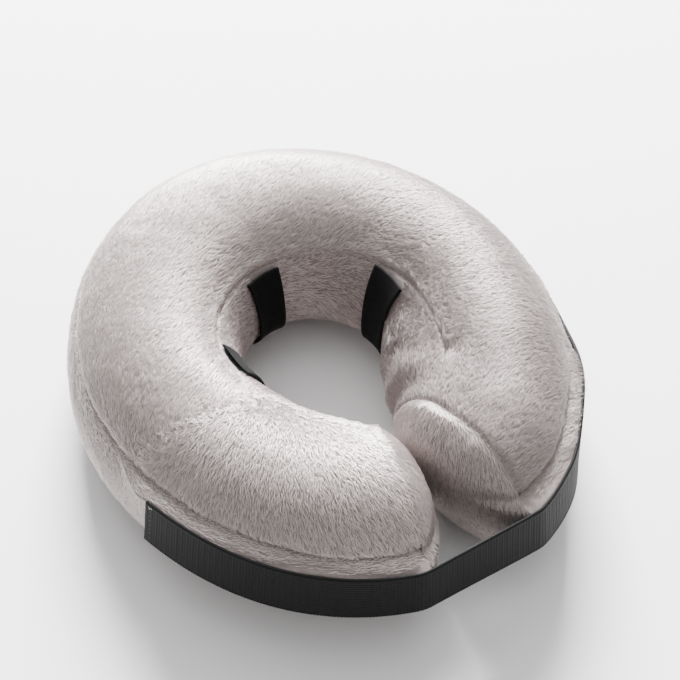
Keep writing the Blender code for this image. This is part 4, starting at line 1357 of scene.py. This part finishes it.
def zip_sweep(name, profile, start, end, steps, look, cad, ripple=0.0):
    """A solid with an (across, out) profile swept along the zip."""
    rows = []
    for i in range(steps + 1):
        angle = start + (end - start) * i / steps
        wave = ripple * math.sin(i * 1.57)
        rows.append([zip_point(angle, across, out + wave * (abs(across) > 1.0))
                     for across, out in profile])
    attach(capped_sweep(name, np.array(rows), LOOK[look]), "right_half", cad)


def dense(profile, step):
    """The profile with extra points along its long sides."""
    out = []
    for a, b in zip(profile, profile[1:] + profile[:1]):
        count = max(1, int(math.dist(a, b) / step))
        out += [(a[0] + (b[0] - a[0]) * i / count, a[1] + (b[1] - a[1]) * i / count)
                for i in range(count)]
    return out


def mirrored(profile, sign):
    return [(sign * across, out) for across, out in profile]


# (across, out) profiles for the upper side
TAPE_PROFILE = [(0.7, 2.0), (4.4, 1.8), (7.4, 0.6), (9.2, -0.1),
                (9.2, 0.5), (7.4, 1.3), (4.6, 2.6), (0.7, 2.8)]
TOOTH_LINE = [(1.95, 3.0), (1.2, 2.95), (0.2, 3.1), (-0.30, 3.35), (-0.42, 3.65),
              (-0.30, 3.95), (0.2, 4.1), (1.2, 4.15), (1.95, 4.05), (2.25, 3.5)]
CORD_PROFILE = [(1.35, 3.95), (2.15, 3.95), (2.15, 4.45), (1.35, 4.45)]
STOP_PROFILE = [(-2.0, 3.0), (2.0, 3.0), (2.3, 3.7), (1.9, 4.5), (-1.9, 4.5), (-2.3, 3.7)]
TOOTH_PITCH, TOOTH_RADIUS = 1.3, 0.27
ZIP_SIDES = (("upper", 1), ("lower", -1))

for side_name, side_sign in ZIP_SIDES:
    zip_sweep(f"zip_tape_{side_name}", dense(mirrored(TAPE_PROFILE, side_sign), 0.35),
              ZIP_START + 6 * PER_MM, ZIP_END - 6 * PER_MM, 420, "zip_tape",
              (f"zip_tape_{side_name}",), ripple=0.06)


def coil_teeth(side, sign):
    """One side of the coil: closed tooth loops, and the cord that holds them."""
    verts, faces = [], []
    rings, sides = len(TOOTH_LINE), 6
    stagger = TOOTH_PITCH / 2 if sign < 0 else 0
    for k in range(int((ZIP_START - ZIP_END) * ZIP_RADIUS / MM / TOOTH_PITCH)):
        angle = ZIP_START - (1.0 + k * TOOTH_PITCH + stagger) * PER_MM
        faces += tube_faces(len(verts), rings, sides, closed=True)
        for i, (across, out) in enumerate(TOOTH_LINE):
            way = np.array(TOOTH_LINE[(i + 1) % rings]) - np.array(TOOTH_LINE[i - 1])
            way /= np.linalg.norm(way)
            for j in range(sides):
                a = j * math.pi / 3
                swell = TOOTH_RADIUS * math.cos(a)
                verts.append(zip_point(angle, sign * (across + way[1] * swell),
                                       out - way[0] * swell, TOOTH_RADIUS * math.sin(a)))
    name = f"zip_coil_{side}"
    attach(mesh_object(name, verts, faces, LOOK["zip_coil"]), "right_half", (name,))
    zip_sweep(f"zip_cord_{side}", dense(mirrored(CORD_PROFILE, sign), 0.4),
              ZIP_START - 0.6 * PER_MM, ZIP_END + 0.6 * PER_MM, 300, "zip_tape",
              (), ripple=0.08)


for side_name, side_sign in ZIP_SIDES:
    coil_teeth(side_name, side_sign)
for stop_name, stop_at, beyond in (("zip_stop_closed", ZIP_START, 1), ("zip_stop_open", ZIP_END, -1)):
    zip_sweep(stop_name, dense(STOP_PROFILE, 0.5), stop_at + beyond * 0.4 * PER_MM,
              stop_at + beyond * 2.2 * PER_MM, 6, "zip_metal", (stop_name,))

SLIDER_ANGLE = ZIP_START - math.radians(3.2)


def metal_plate(name, outline_points, span, plane, body, bevel, cad=(), hole=None):
    """A bevelled plate by the slider. plane names the outline's two directions; span is the
    plate's extent in the third. A hole has as many points as the outline."""
    mesh = bpy.data.meshes.new(name)

    def place(first, second, depth):
        across, out, along = {
            "along_out": (depth, second, first),
            "along_across": (second, depth, first),
            "across_out": (first, second, depth),
        }[plane]
        return zip_point(SLIDER_ANGLE, across, out, along)

    with editing(mesh) as bm:
        def faces_of(points):
            return [[bm.verts.new(place(*point, depth)) for point in points] for depth in span]

        def join(ring_a, ring_b):
            for j in range(len(ring_a)):
                k = (j + 1) % len(ring_a)
                bm.faces.new((ring_a[j], ring_a[k], ring_b[k], ring_b[j]))

        low, high = faces_of(outline_points)
        if hole:
            hole_low, hole_high = faces_of(hole)
            join(low, hole_low)
            join(high, hole_high)
            join(hole_low, hole_high)
        else:
            bm.faces.new(low)
            bm.faces.new(high[::-1])
        join(low, high)
        bmesh.ops.recalc_face_normals(bm, faces=bm.faces)
        sharp = [e for e in bm.edges if len(e.link_faces) == 2 and e.calc_face_angle(0) > 0.5]
        bmesh.ops.bevel(bm, geom=sharp, offset=bevel * MM, segments=3, affect="EDGES",
                        clamp_overlap=True)
        for face in bm.faces:
            face.smooth = True
    mesh.set_sharp_from_angle(angle=math.radians(50))
    attach(add_object(name, mesh, LOOK["zip_metal"]), body, cad)


def slider_plate(length=8.8, broad=3.9, narrow=3.0, steps=10):
    """(along, across) outline, broad at one end and narrow at the other."""
    lower = []
    for i in range(steps + 1):
        share = i / steps
        half = broad + (narrow - broad) * float(smooth01(share * 1.4))
        lower.append((-length / 2 + length * share, -half))
    return lower + [(along, -across) for along, across in reversed(lower)]


# (along, out) outline of the arch on the slider
BAIL = [
    (-3.0, 5.3), (-3.0, 7.0), (-2.6, 7.6), (-1.8, 7.9), (1.8, 7.9), (2.6, 7.6), (3.0, 7.0),
    (3.0, 5.3), (1.8, 5.3), (1.8, 6.7), (1.4, 7.05), (-1.4, 7.05), (-1.8, 6.7), (-1.8, 5.3),
]
# (along, across) outlines of the pull and its hole
PULL = [(-0.5, -2.0), (1.5, -2.5), (6.0, -3.0), (18.2, -3.0), (19.6, -2.2), (20.0, -0.9),
        (20.0, 0.9), (19.6, 2.2), (18.2, 3.0), (6.0, 3.0), (1.5, 2.5), (-0.5, 2.0)]
PULL_HOLE = [(0.55, -1.15), (1.5, -1.3), (3.0, -1.3), (4.2, -1.3), (4.9, -1.0), (5.2, -0.4),
             (5.2, 0.4), (4.9, 1.0), (4.2, 1.3), (3.0, 1.3), (1.5, 1.3), (0.55, 1.15)]
PULL_OUT, PULL_HALF = 6.35, 0.32
WEDGE = [(-0.25, 1.3), (0.25, 1.3), (0.25, 4.8), (-0.25, 4.8)]  # (across, out)

metal_plate("zip_slider", slider_plate(), (4.6, 5.5), "along_across", "zip_slider",
            bevel=0.3, cad=("zip_slider",))
metal_plate("zip_slider_back", slider_plate(), (0.7, 1.5), "along_across", "zip_slider",
            bevel=0.3)
metal_plate("zip_slider_wedge", WEDGE, (-4.2, 0.5), "across_out", "zip_slider", bevel=0.1)
metal_plate("zip_slider_bail", BAIL, (-0.6, 0.6), "along_out", "zip_slider", bevel=0.18)
metal_plate("zip_pull", PULL, (PULL_OUT - PULL_HALF, PULL_OUT + PULL_HALF), "along_across",
            "zip_pull", bevel=0.2, cad=("zip_pull",), hole=PULL_HOLE)


# ---------------------------------------------------------------- bladder inside the cover
def bladder_piece(name, rows, body, cad=(), cap=0):
    """A length of the bladder; cap is -1 or 1 for the left or right arm's domed end."""
    points = np.concatenate(
        [surface(rows, turns, -0.0036)[0][:, :-1] for turns in whole_section(30, 18, 26, 14)], 1)
    if cap:
        edge = points[-1 if cap > 0 else 0] + np.array([cap * 0.002, 0, 0])
        middle = edge.mean(0)
        share = np.linspace(1, 0.04, 14)[:, None, None]
        rings = middle + (edge - middle) * share
        rings[..., 0] -= cap * (BULGE - 0.0005) * (1 - share[..., 0] ** DOME)
        parts = [points[:-1], rings] if cap > 0 else [rings[::-1], points[1:]]
        points = np.concatenate(parts, 0)
    ripple = 0.0003 * fractal_noise(points, 0.02, 2, 5)
    points = points + grid_normals(points) * ripple[..., None]
    ob = grid_mesh(name, points, LOOK["film"], wrap=True)
    with editing(ob.data) as bm:
        if cap:
            fill_near(bm, middle)
        smooth_faces(bm)
        removed = []
        for vertex in bm.verts:
            height, flat = valve_parts(vertex)
            if np.linalg.norm(flat) < 0.0064 and abs(height) < 0.015:
                removed.append(vertex)
        bmesh.ops.delete(bm, geom=removed, context="VERTS")
    attach(ob, body, cad)


bladder_piece("bladder_left_arm", np.linspace(-1, -SPLIT, 70), "left_half",
              ("bladder_left",), cap=-1)
bladder_piece("bladder_back", np.linspace(-SPLIT, SPLIT, 80), BACK_BLEND)
bladder_piece("bladder_right_arm", np.linspace(SPLIT, 1, 70), "right_half",
              ("bladder_right",), cap=1)


# ---------------------------------------------------------------- floor, light and camera
def add_floor():
    bpy.ops.mesh.primitive_plane_add(size=6.0, location=(0, 0, 0))
    floor = bpy.context.object
    floor.name = "floor"
    material, tree, shader = new_material("floor_paper")
    set_inputs(tree, shader, {
        "Base Color": (0.755, 0.755, 0.755, 1), "Roughness": 0.95, "Specular IOR Level": 0.1})
    floor.data.materials.append(material)
    floor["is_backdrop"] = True


def add_world():
    """Soft white light, strongest from behind, above and the right."""
    world = bpy.data.worlds.new("studio")
    bpy.context.scene.world = world
    world.use_nodes = True
    tree = world.node_tree
    place = add_node(tree, "ShaderNodeTexCoord")
    facing = add_node(tree, "ShaderNodeVectorMath", operation="DOT_PRODUCT",
                      inputs={0: place.outputs["Generated"], 1: (0.55, 0.64, 0.54)})
    spread_out = add_node(tree, "ShaderNodeMapRange", {
        "From Min": -0.1, "From Max": 1.0, "Value": facing.outputs["Value"]})
    falloff = add_node(tree, "ShaderNodeMath", {0: spread_out.outputs["Result"], 1: 1.5},
                       operation="POWER")
    # gain, then the level everywhere
    strength = add_node(tree, "ShaderNodeMath", {0: falloff.outputs[0], 1: 0.80, 2: 0.76},
                        operation="MULTIPLY_ADD")
    set_inputs(tree, tree.nodes["Background"], {
        "Color": (1, 1, 1, 1), "Strength": strength.outputs[0]})


def add_area_light(name, location, target, size, power):
    data = bpy.data.lights.new(name, "AREA")
    data.shape = "RECTANGLE"
    data.size, data.size_y = size
    data.energy = power
    ob = bpy.data.objects.new(name, data)
    bpy.context.scene.collection.objects.link(ob)
    ob.location = location
    way = Vector(target) - Vector(location)
    ob.rotation_euler = way.to_track_quat("-Z", "Y").to_euler()
    ob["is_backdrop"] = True


def add_camera():
    """Looks down at the collar from the front left."""
    azimuth, elevation, distance = math.radians(-31.8), math.radians(50.95), 0.850
    target = Vector((0.0007, -0.0007, 0.045))
    back = Vector((math.sin(azimuth) * math.cos(elevation),
                   -math.cos(azimuth) * math.cos(elevation), math.sin(elevation)))
    data = bpy.data.cameras.new("camera")
    camera = bpy.data.objects.new("camera", data)
    bpy.context.scene.collection.objects.link(camera)
    camera.location = target + back * distance
    camera.rotation_euler = (-back).to_track_quat("-Z", "Y").to_euler()
    data.lens = 78.9
    data.sensor_width = 36.0
    data.shift_x = 0.0282
    data.shift_y = 0.0243
    data.clip_start = 0.01
    bpy.context.scene.camera = camera


add_floor()
add_world()
add_area_light("key_above", location=(0.35, 0.85, 1.9), target=(0, 0, 0.03),
               size=(2.2, 1.6), power=20)
add_area_light("sheen_back", location=(0.98, 1.72, 1.42), target=(0, 0, 0.05),
               size=(1.15, 0.85), power=560)
add_camera()

bpy.context.view_layer.update()
SCENE_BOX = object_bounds()


def plain(box):
    return [[round(float(c), 6) for c in point] for point in box]


{"cad": plain(CAD_BOX), "scene": plain(SCENE_BOX)}
